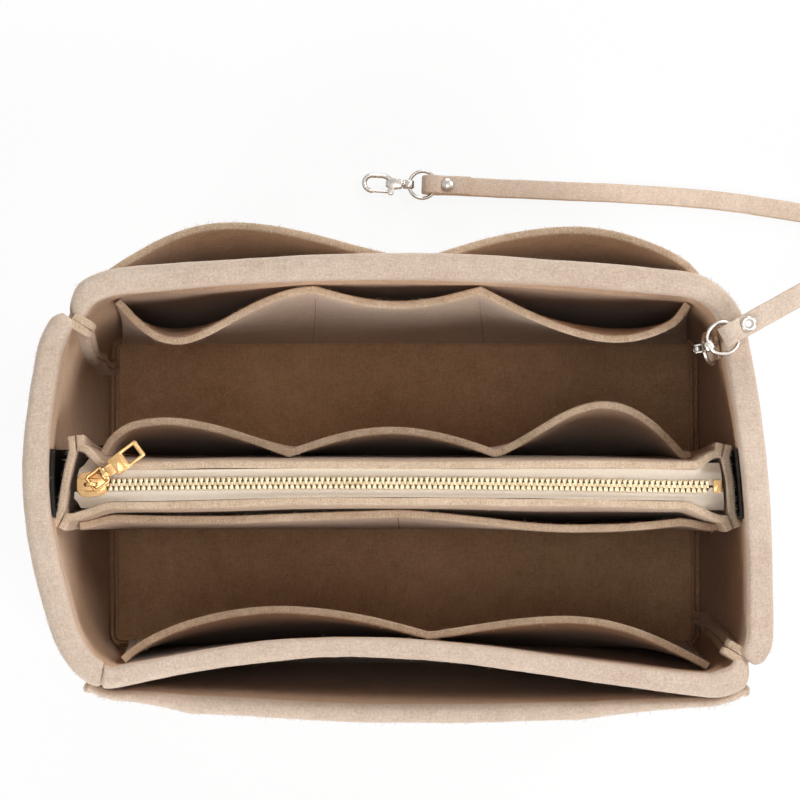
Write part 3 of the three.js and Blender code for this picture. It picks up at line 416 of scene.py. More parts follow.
def wall_ring(station, end_gap, tuck):
    """Section of a folded wall: up its inner face, over the rim and down its outer face."""
    pinch = tuck * (1 - smooth(end_gap, 0, PINCH_LENGTH)) ** 1.5
    shut = 0.5 * max(0, 1 - end_gap / END_ROUND) ** 2
    middle = RIM / 2
    level = HEIGHT - RIM / 2
    heights = [0, 1.5, 3.3, 5] + steps(9, HEIGHT - RIM_DEPTH, 9) + steps(HEIGHT - RIM_DEPTH, level, 8)[1:]
    shape = [(inner_depth(z), z) for z in heights]
    for angle in steps(0, math.pi, ROUND_STEPS)[1:-1]:
        square = INNER_SQUARE if math.cos(angle) > 0 else OUTER_SQUARE
        side = math.copysign(abs(math.cos(angle)) ** square, math.cos(angle))
        shape.append((middle + RIM / 2 * side, level + RIM / 2 * math.sin(angle) ** square))
    shape += [(outer_depth(z), z) for z in reversed(heights)]
    ring = []
    for depth, z in shape:
        rim = puff(z)
        squeezed = middle + (depth - middle) * (1 - PINCH_THIN * pinch * rim) * (1 - shut * rim)
        squeezed += pinch * (PINCH_TUCK + PINCH_RIM_TUCK * rim)
        squeezed -= (slim(station, z) + undercut(station, z)) * max(0, depth / middle - 1)
        place = leaning(station, z)
        here = inset(place, squeezed, z)
        swell = (ripple(at(here, z), 34, 0.5) + ripple(at(here, z), 6, 0.16)) * smooth(z, 4, 30)
        outward = (middle - depth) / middle
        folded = math.exp(-((station - CREASE) * CORNER_MM / CREASE_WIDTH) ** 2) * rim
        squeezed = mix(squeezed, middle, CREASE_THIN * folded)
        drop = END_DROP * (pinch + shut) + CREASE_DROP * folded
        dropped = z - drop * rim + swell * rim * (1 - abs(outward))
        ring.append(at(inset(place, squeezed - swell * outward, z), max(0, dropped)))
    return ring


def wall_strip(first, last):
    start = first + SEAM_SHARE + CLEAR / 2 / CORNER_MM
    end = last + SEAM_SHARE - CLEAR / 2 / CORNER_MM
    twice = box_stations + [station + 8 for station in box_stations]
    close = [gap / CORNER_MM for gap in (0, 0.3, 0.8, 1.5, 2.4, 3.5, 5, 7, 9)]
    stations = [start + gap for gap in close] + [end - gap for gap in close]
    twice += [CREASE + gap / CORNER_MM for gap in (-1.5, -1, -0.6, -0.3, 0, 0.3, 0.6, 1, 1.5)]
    stations += [s for s in twice if start + close[-1] + 0.01 < s < end - close[-1] - 0.01]
    rings = []
    for station in sorted(stations):
        if station - start < end - station:
            rings.append(wall_ring(station, (station - start) * CORNER_MM, 0.25))
        else:
            rings.append(wall_ring(station, (end - station) * CORNER_MM, 1))
    # Faces on the inside of the wall, up to the start of the rim's round, take the darker inner felt:
    # painted shade.
    return loft(rings, finish=lambda i: int(i < INNER_ROWS))


FLANGE = ((0, -2), (0, 0.84), (0.1, 0.96), (0.3, 1), (0.7, 1), (0.9, 0.96), (1, 0.84), (1, -2))


def seam_edge(seam, side):
    """One raw edge of a corner seam: a felt band that stands inwards from floor to rim."""
    rings = []
    for z in steps(FELT + 2, FLANGE_TOP, 60):
        over = max(0, (z - FLANGE_TOP + 5) / 5)
        reach = (FLANGE_DEPTH + 2.2 * smooth(z, 120, 150)) * math.sqrt(max(0.02, 1 - over * over))
        reach += 0.7 * noise.noise(Vector((seam, side, z / 9)))
        lean = 0.7 * noise.noise(Vector((side * 5, seam, z / 14)))
        foot, tangent = outline_at(leaning(seam, z), z)
        ring = []
        for across, depth in FLANGE:
            along = side * (CLEAR / 2 + across * FELT) + lean
            reached = depth * reach if depth > 0 else depth
            ring.append(at(foot + tangent * along + 1j * tangent * (inner_depth(z) + reached), z))
        rings.append(ring)
    return loft(rings, finish=lambda i: int(1 <= i <= 5), end_finish=1)


for name, corner in (("back_right", 1), ("left_front", 5)):
    wall = piece(name + "_felt", wall_strip(corner, corner + 4), felt, inner_felt)
    fasten(wall, "box", "felt", name + "_wall")
corner_edges = joined(*[seam_edge(corner + SEAM_SHARE, side) for corner in (1, 5) for side in (-1, 1)])
corner_seams = piece("corner_seam_edges", corner_edges, felt, cut_felt)
fasten(corner_seams, "box", "felt")

# Front pocket: a second folded wall, sewn to the box along its ends and foot, that hangs open.
# Its side seams show at the top as two small felt nubs.
POCKET_HEIGHT = 150
POCKET_WALL = 6
POCKET_RIM = 7
POCKET_GAP = 16
POCKET_PRESS = 2
POCKET_THIN = 0.45
BELLY_SKEW = 0.82
BELLY_SHARP = 1.75
POCKET_FROM = -0.29
POCKET_TO = 1.35
NUB = 2.3
POCKET_INNER_ROWS = 18


def pocket_belly(station):
    left = inset(8 + POCKET_FROM, 0, POCKET_HEIGHT).real
    right = inset(8 + POCKET_TO, 0, POCKET_HEIGHT).real
    share = (inset(station, 0, POCKET_HEIGHT).real - left) / (right - left)
    return max(0, math.sin(math.pi * min(1, max(0, share)) ** BELLY_SKEW)) ** BELLY_SHARP


def pocket_stand(belly, z):
    """How far the pocket stands off the front wall."""
    pressed = POCKET_PRESS * smooth(z, 20, 110) * min(1, 2.5 * belly)
    return mix(-0.8, CLEAR, smooth(z, 0, 10)) + POCKET_GAP * rise(z) * belly + pressed


def pocket_ring(station):
    belly = pocket_belly(station)
    thin = mix(POCKET_THIN, 1, min(1, 2.5 * belly))
    level = POCKET_HEIGHT - POCKET_RIM / 2
    heights = steps(0, POCKET_HEIGHT - RIM_DEPTH, 10) + steps(POCKET_HEIGHT - RIM_DEPTH, level, 8)[1:]
    width = [mix(POCKET_WALL, POCKET_RIM, smooth(z, POCKET_HEIGHT - RIM_DEPTH, level)) for z in heights]
    shape = [(0, z) for z in heights]
    for angle in steps(math.pi, 0, ROUND_STEPS)[1:-1]:
        side = math.copysign(abs(math.cos(angle)) ** 0.85, math.cos(angle))
        top = level + POCKET_RIM / 2 * math.sin(angle) ** 0.9
        shape.append((POCKET_RIM / 2 * (1 + side), top))
    shape += [(w, z) for w, z in zip(reversed(width), reversed(heights))]
    ring = []
    for depth, z in shape:
        stand = pocket_stand(belly, z)
        here = inset(station, outer_depth(z) - stand - depth * thin, z)
        swell = ripple((here.real, z, 7), 38, 0.6) + ripple((here.real, here.imag, z), 6, 0.14)
        swell *= smooth(z, 4, 40) * min(1, 3 * belly) * (1 if depth > POCKET_RIM / 2 else 0.3)
        ring.append(at(inset(station, outer_depth(z) - stand - depth * thin - swell, z), z))
    return ring


def pocket_nub(station, lean):
    """The raw end of a side seam: a rounded ridge up the end of the pocket."""
    rings = []
    for z in steps(2, POCKET_HEIGHT - 2, 30):
        shut = math.sqrt(max(0.05, 1 - max(0, (z - POCKET_HEIGHT + 6) / 4.4) ** 2))
        _, tangent = outline_at(station, z)
        centre = inset(station, outer_depth(z) - CLEAR - 2.6, z) + lean * tangent * 1.2
        ring = []
        for angle in around(12):
            side = NUB * shut * (1 + 0.15 * noise.noise(Vector((angle, z / 7, station))))
            ring.append(at(centre + tangent * cmath.rect(side, angle), z))
        rings.append(ring)
    return loft(rings)


pocket_stations = steps(8 + POCKET_FROM, 8, 10)[:-1] + steps(8, 9, 100) + steps(9, 8 + POCKET_TO, 8)[1:]
nubs = [pocket_nub(8 + POCKET_FROM + 0.03, -1), pocket_nub(8 + POCKET_TO - 0.03, 1)]
pocket_rings = [pocket_ring(station) for station in pocket_stations]
# The faces inside the pocket, towards the box's front wall, take the darker inner felt: painted shade.
hung_wall = loft(pocket_rings, finish=lambda i: int(i < POCKET_INNER_ROWS))
front_pocket = piece("front_pocket_felt", joined(hung_wall, *nubs), felt, inner_felt)
fasten(front_pocket, "box", "felt", "front_pocket")

# Sewn-on pockets: strips of single felt, cut straight along the top and stitched down to the wall.
# Each bay between two seams has spare length, so its top edge bellies away from the wall.
POCKET_FOOT = 5
BAY_STEPS = 30
CUT_PROFILE = ((0.03, -0.3), (0.12, -0.06), (0.3, 0), (0.7, 0), (0.88, -0.06), (0.97, -0.3))
CORNER_PACE = 4.8
CUT_ROUND = 0.7
STRIP_ROWS = 16
OUTER_BACK = dict(
    name="back_pocket", side=2, inside=False, top=125,
    seams=(-0.048, 0.468, 1.045), bulges=(15.5, 16.5), skews=(0.8, 1.44))
INNER_BACK = dict(
    name="inner_back_pocket", side=2, inside=True, top=130,
    seams=(-0.032, 0.358, 0.665, 1.022), bulges=(15.5, 6.5, 17), skews=(0.75, 1, 2))
INNER_FRONT = dict(
    name="inner_front_pocket", side=0, inside=True, top=125,
    seams=(0.01, 0.522, 1.01), bulges=(10.4, 12.6), skews=(0.76, 1.2))
BOX_STRIPS = (OUTER_BACK, INNER_BACK, INNER_FRONT)


def side_station(side, share):
    """Station of a share of a side; past its ends it runs on into the corners at about the same pace."""
    past = share - min(1, max(0, share))
    return 2 * side + share + past * (CORNER_PACE - 1)


def bay_shares(seams, count):
    shares = [seams[0]]
    for low, high in zip(seams, seams[1:]):
        shares += steps(low, high, count)[1:]
    return shares


def bay_gap(strip, share, z):
    """How far a strip stands off its wall: nothing at the seams, most at the top of a bay."""
    seams = strip["seams"]
    bay = sum(1 for seam in seams[1:-1] if seam < share)
    t = min(1, (share - seams[bay]) / (seams[bay + 1] - seams[bay]))
    lifted = max(0, (z - POCKET_FOOT) / (strip["top"] - POCKET_FOOT)) ** 1.5
    return strip["bulges"][bay] * math.sin(math.pi * t ** strip["skews"][bay]) * lifted


def moved_left(path, distance):
    """A plan path moved to its left, mitred at its bends."""
    moved = []
    for i, point in enumerate(path):
        into = point - path[max(0, i - 1)]
        out = path[min(len(path) - 1, i + 1)] - point
        into = into or out
        out = out or into
        middle = into / abs(into) + out / abs(out)
        middle /= abs(middle)
        lean = max(0.5, (middle * (into / abs(into)).conjugate()).real)
        moved.append(point + 1j * middle * distance / lean)
    return moved


def standing_sheet(path_at, heights, thickness, waver=0.25, hidden=0):
    """A sheet of cut felt that stands on a plan path, thickened to the left of it."""
    near = [path_at(z) for z in heights]
    far = [moved_left(path, thickness) for path in near]
    rings = []
    for i in range(len(near[0])):
        lift = ripple((near[-1][i].real, near[-1][i].imag, 5), 12, waver)
        up, down = [[at(path[i], z) for path, z in zip(paths, heights)] for paths in (near, far)]
        for side, paths in ((up, near), (down, far)):
            side[-1] = at(paths[-1][i], heights[-1] + lift - CUT_ROUND)
        cut = []
        for across, drop in CUT_PROFILE:
            cut.append(at(mix(near[-1][i], far[-1][i], across), heights[-1] + drop + lift))
        rings.append(up + cut + down[::-1])
    first = len(heights) - 1
    last = first + len(CUT_PROFILE)
    return loft(rings, finish=lambda i: hidden if i < first else int(i <= last), end_finish=1)


def stood_off(strip, station, gap, z):
    """Depth of a place that stands off the strip's wall by a gap."""
    return wall_face(station, z) + gap if strip["inside"] else outer_depth(z) - gap


def strip_path(strip, z):
    path = []
    for share in bay_shares(strip["seams"], BAY_STEPS):
        gap = CLEAR + bay_gap(strip, share, z)
        station = side_station(strip["side"], share)
        depth = stood_off(strip, station, gap, z)
        waver = ripple((share * 200, z, strip["top"]), 30, 0.5) * min(1, gap / 3)
        path.append(inset(station, depth + waver, z))
    return path


def hang_strip(strip, path_at, thickness, body):
    heights = steps(POCKET_FOOT, strip["top"], STRIP_ROWS)
    # The open faces take the mid-brown pocket felt and the faces towards the wall or panel the darker inner
    # felt: painted shade inside the box and the pockets.
    sheet = standing_sheet(lambda z: path_at(strip, z), heights, thickness, hidden=2)
    pocket = piece(strip["name"] + "_felt", sheet, pocket_felt, cut_felt, inner_felt)
    fasten(pocket, body, "felt", strip["name"])


def strip_thickness(strip):
    return FELT if strip["inside"] else -FELT


for strip in BOX_STRIPS:
    hang_strip(strip, strip_path, strip_thickness(strip), "box")

# Seam stitching: a matching thread in a lockstitch, drawn down into the felt along each pocket seam.
# It runs from the top edge of a strip to its foot, with a backstitch at the top.
STITCH = 2.7
STITCH_GAP = 0.9
STITCH_START = 1.6
STITCH_SINK = 0.05
SEAM_INSET = 0.012
THREAD = 0.3
STITCH_SHAPE = ((0, 0.55, 1.2), (0.12, 0.9, 0.35), (0.5, 1, 0), (0.88, 0.9, 0.35), (1, 0.55, 1.2))
# The thread is coloured darker than the felt: painted shade for the groove that each seam sinks into.
groove_shade_thread, thread_skin, thread_spot = new_finish("thread")
twist = thread_spot.stretched(1, 1, 3).grain(0.3, 2)
dress(thread_skin, Base_Color=thread_spot.tint(twist, (0.16, 0.1, 0.06, 1), (0.4, 0.29, 0.2, 1)))
dress(thread_skin, Roughness=0.7, Normal=twist.bump(0.5, 0.1))


def hoop(centre, across, other, radius, angles):
    """A ring of points about a centre, in the plane of two directions."""
    return [tuple(centre + (across * math.cos(a) + other * math.sin(a)) * radius) for a in angles]


def stitch(first, last, sink):
    """One visible stitch between two points: a thread that dips into the felt at both ends."""
    start, end = Vector(first), Vector(last)
    along = (end - start).normalized()
    side = along.cross(sink).normalized()
    rings = []
    for t, fat, down in STITCH_SHAPE:
        centre = start.lerp(end, t) + sink * (THREAD * down)
        rings.append(hoop(centre, side, sink, THREAD * fat, around(6)))
    return loft(rings)


def seam_row(strip, share, face_at):
    """Stitches down one seam of a strip; face_at gives a place on the face that shows, and the way in."""
    made = []
    z = strip["top"] - STITCH_START
    while z > POCKET_FOOT + STITCH:
        first, _ = face_at(strip, share, z)
        last, sink = face_at(strip, share, z - STITCH)
        made.append(stitch(first, last, sink))
        z -= STITCH + STITCH_GAP
    return made


def strip_face(strip, share, z):
    station = side_station(strip["side"], share)
    gap = CLEAR + bay_gap(strip, share, z) + FELT - STITCH_SINK
    sink = outline_at(station, z)[1] * (-1j if strip["inside"] else 1j)
    place = inset(station, stood_off(strip, station, gap, z), z)
    return at(place, z), Vector(at(sink, 0))


rows = []
for strip in BOX_STRIPS:
    first, *between, last = strip["seams"]
    for share in (first + SEAM_INSET, last - SEAM_INSET, *between):
        rows += seam_row(strip, share, strip_face)
pocket_stitches = piece("pocket_stitches", joined(*rows), groove_shade_thread)
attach(pocket_stitches, "box")

# Hook-and-loop patches: black tape, the loop half sewn inside each end wall and the hook half on the pouch.
# The pile is a mat of short stiff loops, so it drinks the light and shows a few caught fibres.
PATCH = 1.2
SHADE_SHEET_THIN = 0.7
PILE = 0.3
PILE_GRAIN = 1.3
PATCH_BOTTOM = 20
PATCH_TOP = 120
SHADE_SHEET_TOP = 154
WALL_PATCH_WIDTH = 28
POUCH_PATCH_WIDTH = 18
POUCH_X = -2.1
POUCH_Y = 1.3
tape_black, tape_skin, tape_spot = new_finish("hook_and_loop")
loops = tape_spot.grain(0.9, 2, 0.6, 1.5)
weave = tape_spot.grain(0.35, 2)
dress(tape_skin, Base_Color=tape_spot.tint(loops, (0.004, 0.0035, 0.003, 1), (0.03, 0.027, 0.024, 1)))
dress(tape_skin, Roughness=0.85, Normal=(loops + weave * 0.5).bump(1, 0.8))
dress(tape_skin, Specular_IOR_Level=0.25)


def pile(point, z):
    """Unevenness of the looped face, in mm."""
    return ripple(at(point, z), PILE_GRAIN, PILE)


# Below the tape's top this is the real loop patch; above it the patch runs on as a thin black sheet up to
# the rim, a dark sheet that paints the shade in the gap beside the pouch's end.
def wall_patch(side, more):
    low = side_at(side, 0, HEIGHT / 2)[0].imag
    high = side_at(side, 1, HEIGHT / 2)[0].imag
    middle = (POUCH_Y - low) / (high - low)
    half = WALL_PATCH_WIDTH / 2 / abs(high - low)
    rings = []
    for share in steps(middle - half - more / abs(high - low), middle + half, 24):
        station = 2 * side + share
        ring = []
        for z in steps(PATCH_BOTTOM, SHADE_SHEET_TOP, 90):
            ring.append(at(inset(station, inner_depth(z) + CLEAR, z), z))
        for z in steps(SHADE_SHEET_TOP, PATCH_BOTTOM, 90):
            sewn = inner_depth(z) + CLEAR
            loops_at = pile(inset(station, sewn + PATCH, z), z)
            thick = mix(PATCH, SHADE_SHEET_THIN, smooth(z, PATCH_TOP - 4, PATCH_TOP + 6))
            ring.append(at(inset(station, sewn + thick - PILE + loops_at, z), z))
        rings.append(ring)
    return loft(rings)


for name, side, more in (("right_wall_patch", 1, 0), ("left_wall_patch", 3, 2)):
    patch = piece(name + "_tape", wall_patch(side, more), tape_black)
    fasten(patch, "box", "hook_and_loop", name)

# Zip pouch: two felt panels and two end gussets, sewn edge to edge with the raw edges standing out.
# It stands across the box as a divider and lifts out; both panels carry a bellied pocket strip.
POUCH_TOP = 145
POUCH_WIDTH = 28
POUCH_NECK = 16.6
NECK_TAPERS = {-1: 16, 1: 11}
NECK_SLACK = 0.2
SLIDER_ROOM = 1.1
SWAY = (0.9, -0.0037, -0.00009)
SWAY_FROM = -110
SWAY_TO = 105
LEFT_TURN = 0.2
RIGHT_TURN = -0.1
LEFT_SPREAD = 0.16
POUCH_END = 124.4
POUCH_FLARE = 4.1
EAR = 3.2
EAR_TOP = 5.2
EAR_SHARES = (1, 0.66, 0.33)
GUSSET_DROP = 0.6
GUSSET_BOW = 0.6
POUCH_FOOT = FELT + CLEAR
PANEL_CORNER = POUCH_WIDTH / 2 - FELT
EAR_SHUT = 9
POUCH_BACK = dict(
    name="pouch_back_pocket", side=1, curl=(2.9, 2.3), top=125,
    seams=(0.037, 0.329, 0.651, 0.945), bulges=(13, 9, 19), skews=(0.62, 1, 1.32))
POUCH_FRONT = dict(
    name="pouch_front_pocket", side=-1, curl=(2.6, 1.2), top=128,
    seams=(0.01, 0.5, 0.99), bulges=(1.5, 5), skews=(1, 1.3))


def pouch_half(x, z, side):
    """Inside half width of the pouch at a place along it, to its front or its back."""
    neck = smooth(abs(x), POUCH_END - NECK_TAPERS[side], POUCH_END - 1)
    slack = NECK_SLACK + SLIDER_ROOM * smooth(side * x, 20, 95)
    top = mix(POUCH_NECK / 2 - FELT + slack, PANEL_CORNER, neck)
    return mix(PANEL_CORNER, top, (z / POUCH_TOP) ** 2)


def flared(x, z):
    """A place along the pouch's top, drawn in towards the base."""
    return x * (1 - POUCH_FLARE / POUCH_END * (1 - (max(0, z) / POUCH_TOP) ** 1.5))


def sway(x, z):
    """The stood-up pouch sags a little sideways towards its top."""
    held = min(SWAY_TO, max(SWAY_FROM, x))
    middle, slope, bow = SWAY
    return (middle + slope * held + bow * held * held) * max(0, z) / POUCH_TOP


def in_pouch(x, y, z):
    """A place in the pouch, drawn straight, as it stands in the box, with both ends turned a little."""
    high = (max(0, z) / POUCH_TOP) ** 2
    left = smooth(-x, 95, POUCH_END) * high
    right = smooth(x, 100, POUCH_END) * high
    turned = y * (LEFT_TURN * left + RIGHT_TURN * right)
    spread = LEFT_SPREAD * max(0, y) * left
    return (flared(x, z) + POUCH_X + turned, y + POUCH_Y + sway(x, z) + spread, z)


def in_box(path, z):
    places = [in_pouch(point.real, point.imag, z) for point in path]
    return [complex(x, y) for x, y, _ in places]


def ear_reach(z):
    """The seam edges stand out most at the top, and least near the foot, where the floor's welt is."""
    shut = mix(0.25, 1, smooth(z, POUCH_FOOT, POUCH_FOOT + EAR_SHUT))
    return mix(EAR * math.sqrt(0.5), EAR_TOP, smooth(z, 70, POUCH_TOP)) * shut


def ear(x, y, share, z):
    reach = ear_reach(z) * share
    out = mix(1, 0.3, smooth(z, 70, POUCH_TOP))
    return complex(x + math.copysign(reach * out, x), y + math.copysign(reach, y))


PANEL_X = steps(-POUCH_END, 20 - POUCH_END, 20) + steps(20 - POUCH_END, POUCH_END - 20, 60)[1:-1]
PANEL_X += steps(POUCH_END - 20, POUCH_END, 20)


def panel_waver(x, z, side):
    return ripple((x, z, side * 9), 34, 0.5) * smooth(POUCH_END - abs(x), 4, 30)


def between_ears(first, path, last, z):
    """A plan path with the seam's raw edges standing out at both its ends."""
    start = [ear(*first, share, z) for share in EAR_SHARES]
    end = [ear(*last, share, z) for share in reversed(EAR_SHARES)]
    return start + path + end


def panel_path(side, z):
    corner = side * PANEL_CORNER
    path = []
    for x in PANEL_X:
        path.append(complex(x, side * pouch_half(x, z, side) + panel_waver(x, z, side)))
    return in_box(between_ears((-POUCH_END, corner), path, (POUCH_END, corner), z), z)


def gusset_path(side, z):
    x = side * POUCH_END
    path = []
    for y in steps(-PANEL_CORNER, PANEL_CORNER, 12):
        path.append(complex(x + side * GUSSET_BOW * math.cos(y / PANEL_CORNER * math.pi / 2), y))
    path = between_ears((x, -PANEL_CORNER), path, (x, PANEL_CORNER), z)
    return in_box(moved_left(path, -side * CLEAR), z)


panel_heights = steps(POUCH_FOOT, POUCH_TOP, 18)
gusset_heights = steps(POUCH_FOOT, POUCH_TOP - GUSSET_DROP, 18)
# The pouch's panels and end gussets take the mid-brown pocket felt: painted shade for the pouch standing
# inside the box.
for name, side in (("pouch_front_panel", -1), ("pouch_back_panel", 1)):
    sheet = standing_sheet(lambda z: panel_path(side, z), panel_heights, side * FELT)
    panel = piece(name + "_felt", sheet, pocket_felt, cut_felt)
    fasten(panel, "pouch", "felt", name)
for name, side in (("pouch_left_end", -1), ("pouch_right_end", 1)):
    sheet = standing_sheet(lambda z: gusset_path(side, z), gusset_heights, -side * FELT)
    gusset = piece(name + "_felt", sheet, pocket_felt, cut_felt)
    fasten(gusset, "pouch", "felt", name)

CURL_STEPS = 9


def pouch_strip_path(strip, z):
    """Plan path of a pouch pocket, with its right end curled back a little towards the top."""
    side = strip["side"]
    path = []
    for share in bay_shares(strip["seams"], BAY_STEPS):
        x = mix(-POUCH_END, POUCH_END, share)
        gap = CLEAR + bay_gap(strip, share, z)
        waver = ripple((share * 200, z, strip["top"] + side), 30, 0.5) * min(1, gap / 3)
        waver += panel_waver(x, z, side) * side
        path.append(complex(x, side * (pouch_half(x, z, side) + FELT + gap + max(0, waver))))
    radius, angle = strip["curl"]
    angle *= smooth(z, 30, strip["top"] - 10)
    ahead = path[-1] - path[-2]
    ahead /= abs(ahead)
    point = path[-1]
    for _ in range(CURL_STEPS):
        ahead *= cmath.rect(1, side * angle / CURL_STEPS)
        point += ahead * radius * max(angle, 0.2) / CURL_STEPS
        path.append(point)
    return in_box(path, z)


def pouch_strip_face(strip, share, z):
    side = strip["side"]
    x = mix(-POUCH_END, POUCH_END, share)
    gap = 2 * FELT + CLEAR + bay_gap(strip, share, z) - STITCH_SINK
    return in_pouch(x, side * (pouch_half(x, z, side) + gap), z), Vector((0, -side, 0))


rows = []
for strip in (POUCH_BACK, POUCH_FRONT):
    hang_strip(strip, pouch_strip_path, strip["side"] * FELT, "pouch")
    for seam in strip["seams"]:
        rows += seam_row(strip, seam, pouch_strip_face)
pouch_stitches = piece("pouch_stitches", joined(*rows), groove_shade_thread)
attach(pouch_stitches, "pouch")

half_x = POUCH_END - CLEAR
half_y = PANEL_CORNER - 2 * CLEAR
base_rings = []
for x in steps(-half_x, half_x, 60):
    lift = ripple((x, 3, 0), 40, 0.15) + 0.15
    low, high = POUCH_FOOT, POUCH_FOOT + FELT - lift
    shape = ((-half_y, low + 0.4), (-half_y, high - 0.4), (-half_y + 0.4, high), (0, high - 0.2),
             (half_y - 0.4, high), (half_y, high - 0.4), (half_y, low + 0.4), (half_y - 0.4, low),
             (0, low), (-half_y + 0.4, low))
    base_rings.append([in_pouch(x, y, z) for y, z in shape])
# The pouch floor takes the darker floor felt: painted shade.
pouch_floor = piece("pouch_floor_felt", loft(base_rings), floor_felt)
fasten(pouch_floor, "pouch", "felt", "pouch_base")


def pouch_patch(side):
    inner = POUCH_END + FELT + 2 * CLEAR
    half = POUCH_PATCH_WIDTH / 2
    rings = []
    for y in steps(-half, half, 18):
        ring = [in_pouch(side * inner, y, z) for z in steps(PATCH_BOTTOM, PATCH_TOP, 70)]
        for z in steps(PATCH_TOP, PATCH_BOTTOM, 70):
            ring.append(in_pouch(side * (inner + PATCH - PILE + pile(complex(y, side), z)), y, z))
        rings.append(ring)
    return loft(rings)


for name, side in (("pouch_left_patch", -1), ("pouch_right_patch", 1)):
    patch = piece(name + "_tape", pouch_patch(side), tape_black)
    fasten(patch, "pouch", "hook_and_loop", name)

# Zip tapes: two cream woven tapes, one sewn inside each panel, with a fine herringbone weave.
# At the closed end each tape is tucked down at its outer corner.
ZIP_Z = 142.6
TAPE = 0.6
TAPE_EDGE = 2.7
TAPE_LEFT = -POUCH_END + 1.5
TAPE_RIGHT = POUCH_END - CLEAR
TROUGH = 0.5
TUCK = 2.6
MOUTH = 2.2
RIB = 0.55
HERRINGBONE = 1.1
ZIP_SIDES = (("front", -1), ("back", 1))
cream, cream_skin, cream_spot = new_finish("zip_tape")
along, across = [cream_spot.node("ShaderNodeSeparateXYZ", {}, {0: cream_spot}, axis) for axis in (0, 1)]
zigzag = across.sum("PINGPONG", across, HERRINGBONE * MM)
phase = (along + zigzag) * (2 * math.pi / (RIB * MM))
ribs = phase.node("ShaderNodeMath", {"operation": "SINE"}, {0: phase})
lint = cream_spot.grain(0.5, 2)
shade = 0.55 + ribs * 0.22 + (lint - 0.5) * 0.7
dress(cream_skin, Base_Color=cream_spot.tint(shade, (0.74, 0.6, 0.46, 1), (0.98, 0.89, 0.76, 1)))
dress(cream_skin, Roughness=0.75, Normal=(ribs * 0.5 + lint).bump(0.5, 0.25))
dress(cream_skin, Sheen_Weight=0.15, Sheen_Roughness=0.5)


def tape_height(x, share):
    """Height of the tape over its lie: a slight trough, and a tuck at the closed end's outer corner."""
    trough = TROUGH * math.sin(math.pi * share)
    tuck = TUCK * smooth(x, TAPE_RIGHT - 9, TAPE_RIGHT - 5) * smooth(share, 0.5, 1)
    mouth = MOUTH * smooth(-x, -TAPE_LEFT - 9, -TAPE_LEFT) * share
    return -trough - tuck - mouth


def zip_tape(side):
    rings = []
    for x in steps(TAPE_LEFT, TAPE_RIGHT, 150):
        edge = min(pouch_half(x, ZIP_Z, side) - CLEAR, 9)
        edge = min(edge, mix(5, 20, smooth(x, TAPE_LEFT - 1, TAPE_LEFT + 12)))
        shares = steps(0, 1, 10)
        near = mix(TAPE_EDGE, 0.4, smooth(x, TAPE_RIGHT - 7, TAPE_RIGHT - 5))
        top = [(x, side * mix(near, edge, t), ZIP_Z + TAPE / 2 + tape_height(x, t)) for t in shares]
        under = [(x, y, z - TAPE) for x, y, z in reversed(top)]
        rings.append([in_pouch(x, y, z) for x, y, z in top + under])
    return loft(rings)


for which, side in ZIP_SIDES:
    tape = piece("zip_tape_" + which + "_cloth", zip_tape(side), cream)
    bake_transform(tape)
    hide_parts("zip_tape_" + which)

# Zip teeth: stamped metal teeth clamped on the tape's edge, two rows that mesh half a pitch apart.
# A stop closes the chain at the right, and each row has a small one at the left.
TOOTH_PITCH = 2.1
TOOTH_HEIGHT = 2
HALF_TOOTH = ((2.25, 0.8), (1.5, 0.86), (1.2, 0.82), (0.95, 0.62), (0.55, 0.58), (-0.1, 0.54),
              (-0.5, 0.46), (-0.66, 0.2))
FIRST_TOOTH = 0.38
BEAD = 2.35
BEAD_HALF = 0.3
BEAD_RISE = 0.55
SLIDER_LENGTH = 11.5
SLIDER_X = -(POUCH_END - 2 - SLIDER_LENGTH / 2)
CHAIN_FROM = SLIDER_X + SLIDER_LENGTH / 2 - 1.2
STOP_LENGTH = 3.5
STOP_FROM = POUCH_END - 0.5 - STOP_LENGTH - CLEAR
TOOTH_COUNT = int((STOP_FROM - CLEAR - CHAIN_FROM) / TOOTH_PITCH)


def metal_finish(name, deep, pale, gloss):
    """Plated metal: bright, with faint rubbing marks and a slightly uneven polish."""
    made, skin, spot = new_finish(name)
    rubbed = spot.stretched(0.2, 1, 1).grain(0.5, 3, 0.6)
    dull = spot.grain(2.5, 3, 0.6)
    dress(skin, Metallic=1.0, Base_Color=spot.tint(dull * 1.4 - 0.2, (*deep, 1), (*pale, 1)))
    dress(skin, Roughness=gloss + (dull - 0.5) * 0.16 + (rubbed - 0.5) * 0.12)
    dress(skin, Normal=rubbed.bump(0.08, 0.05))
    return made


gold = metal_finish("gold_plate", (0.52, 0.29, 0.11), (0.74, 0.49, 0.24), 0.24)
tooth_gold = metal_finish("tooth_gold", (0.5, 0.37, 0.21), (0.78, 0.63, 0.42), 0.3)
nickel = metal_finish("nickel_plate", (0.38, 0.35, 0.32), (0.62, 0.58, 0.53), 0.28)


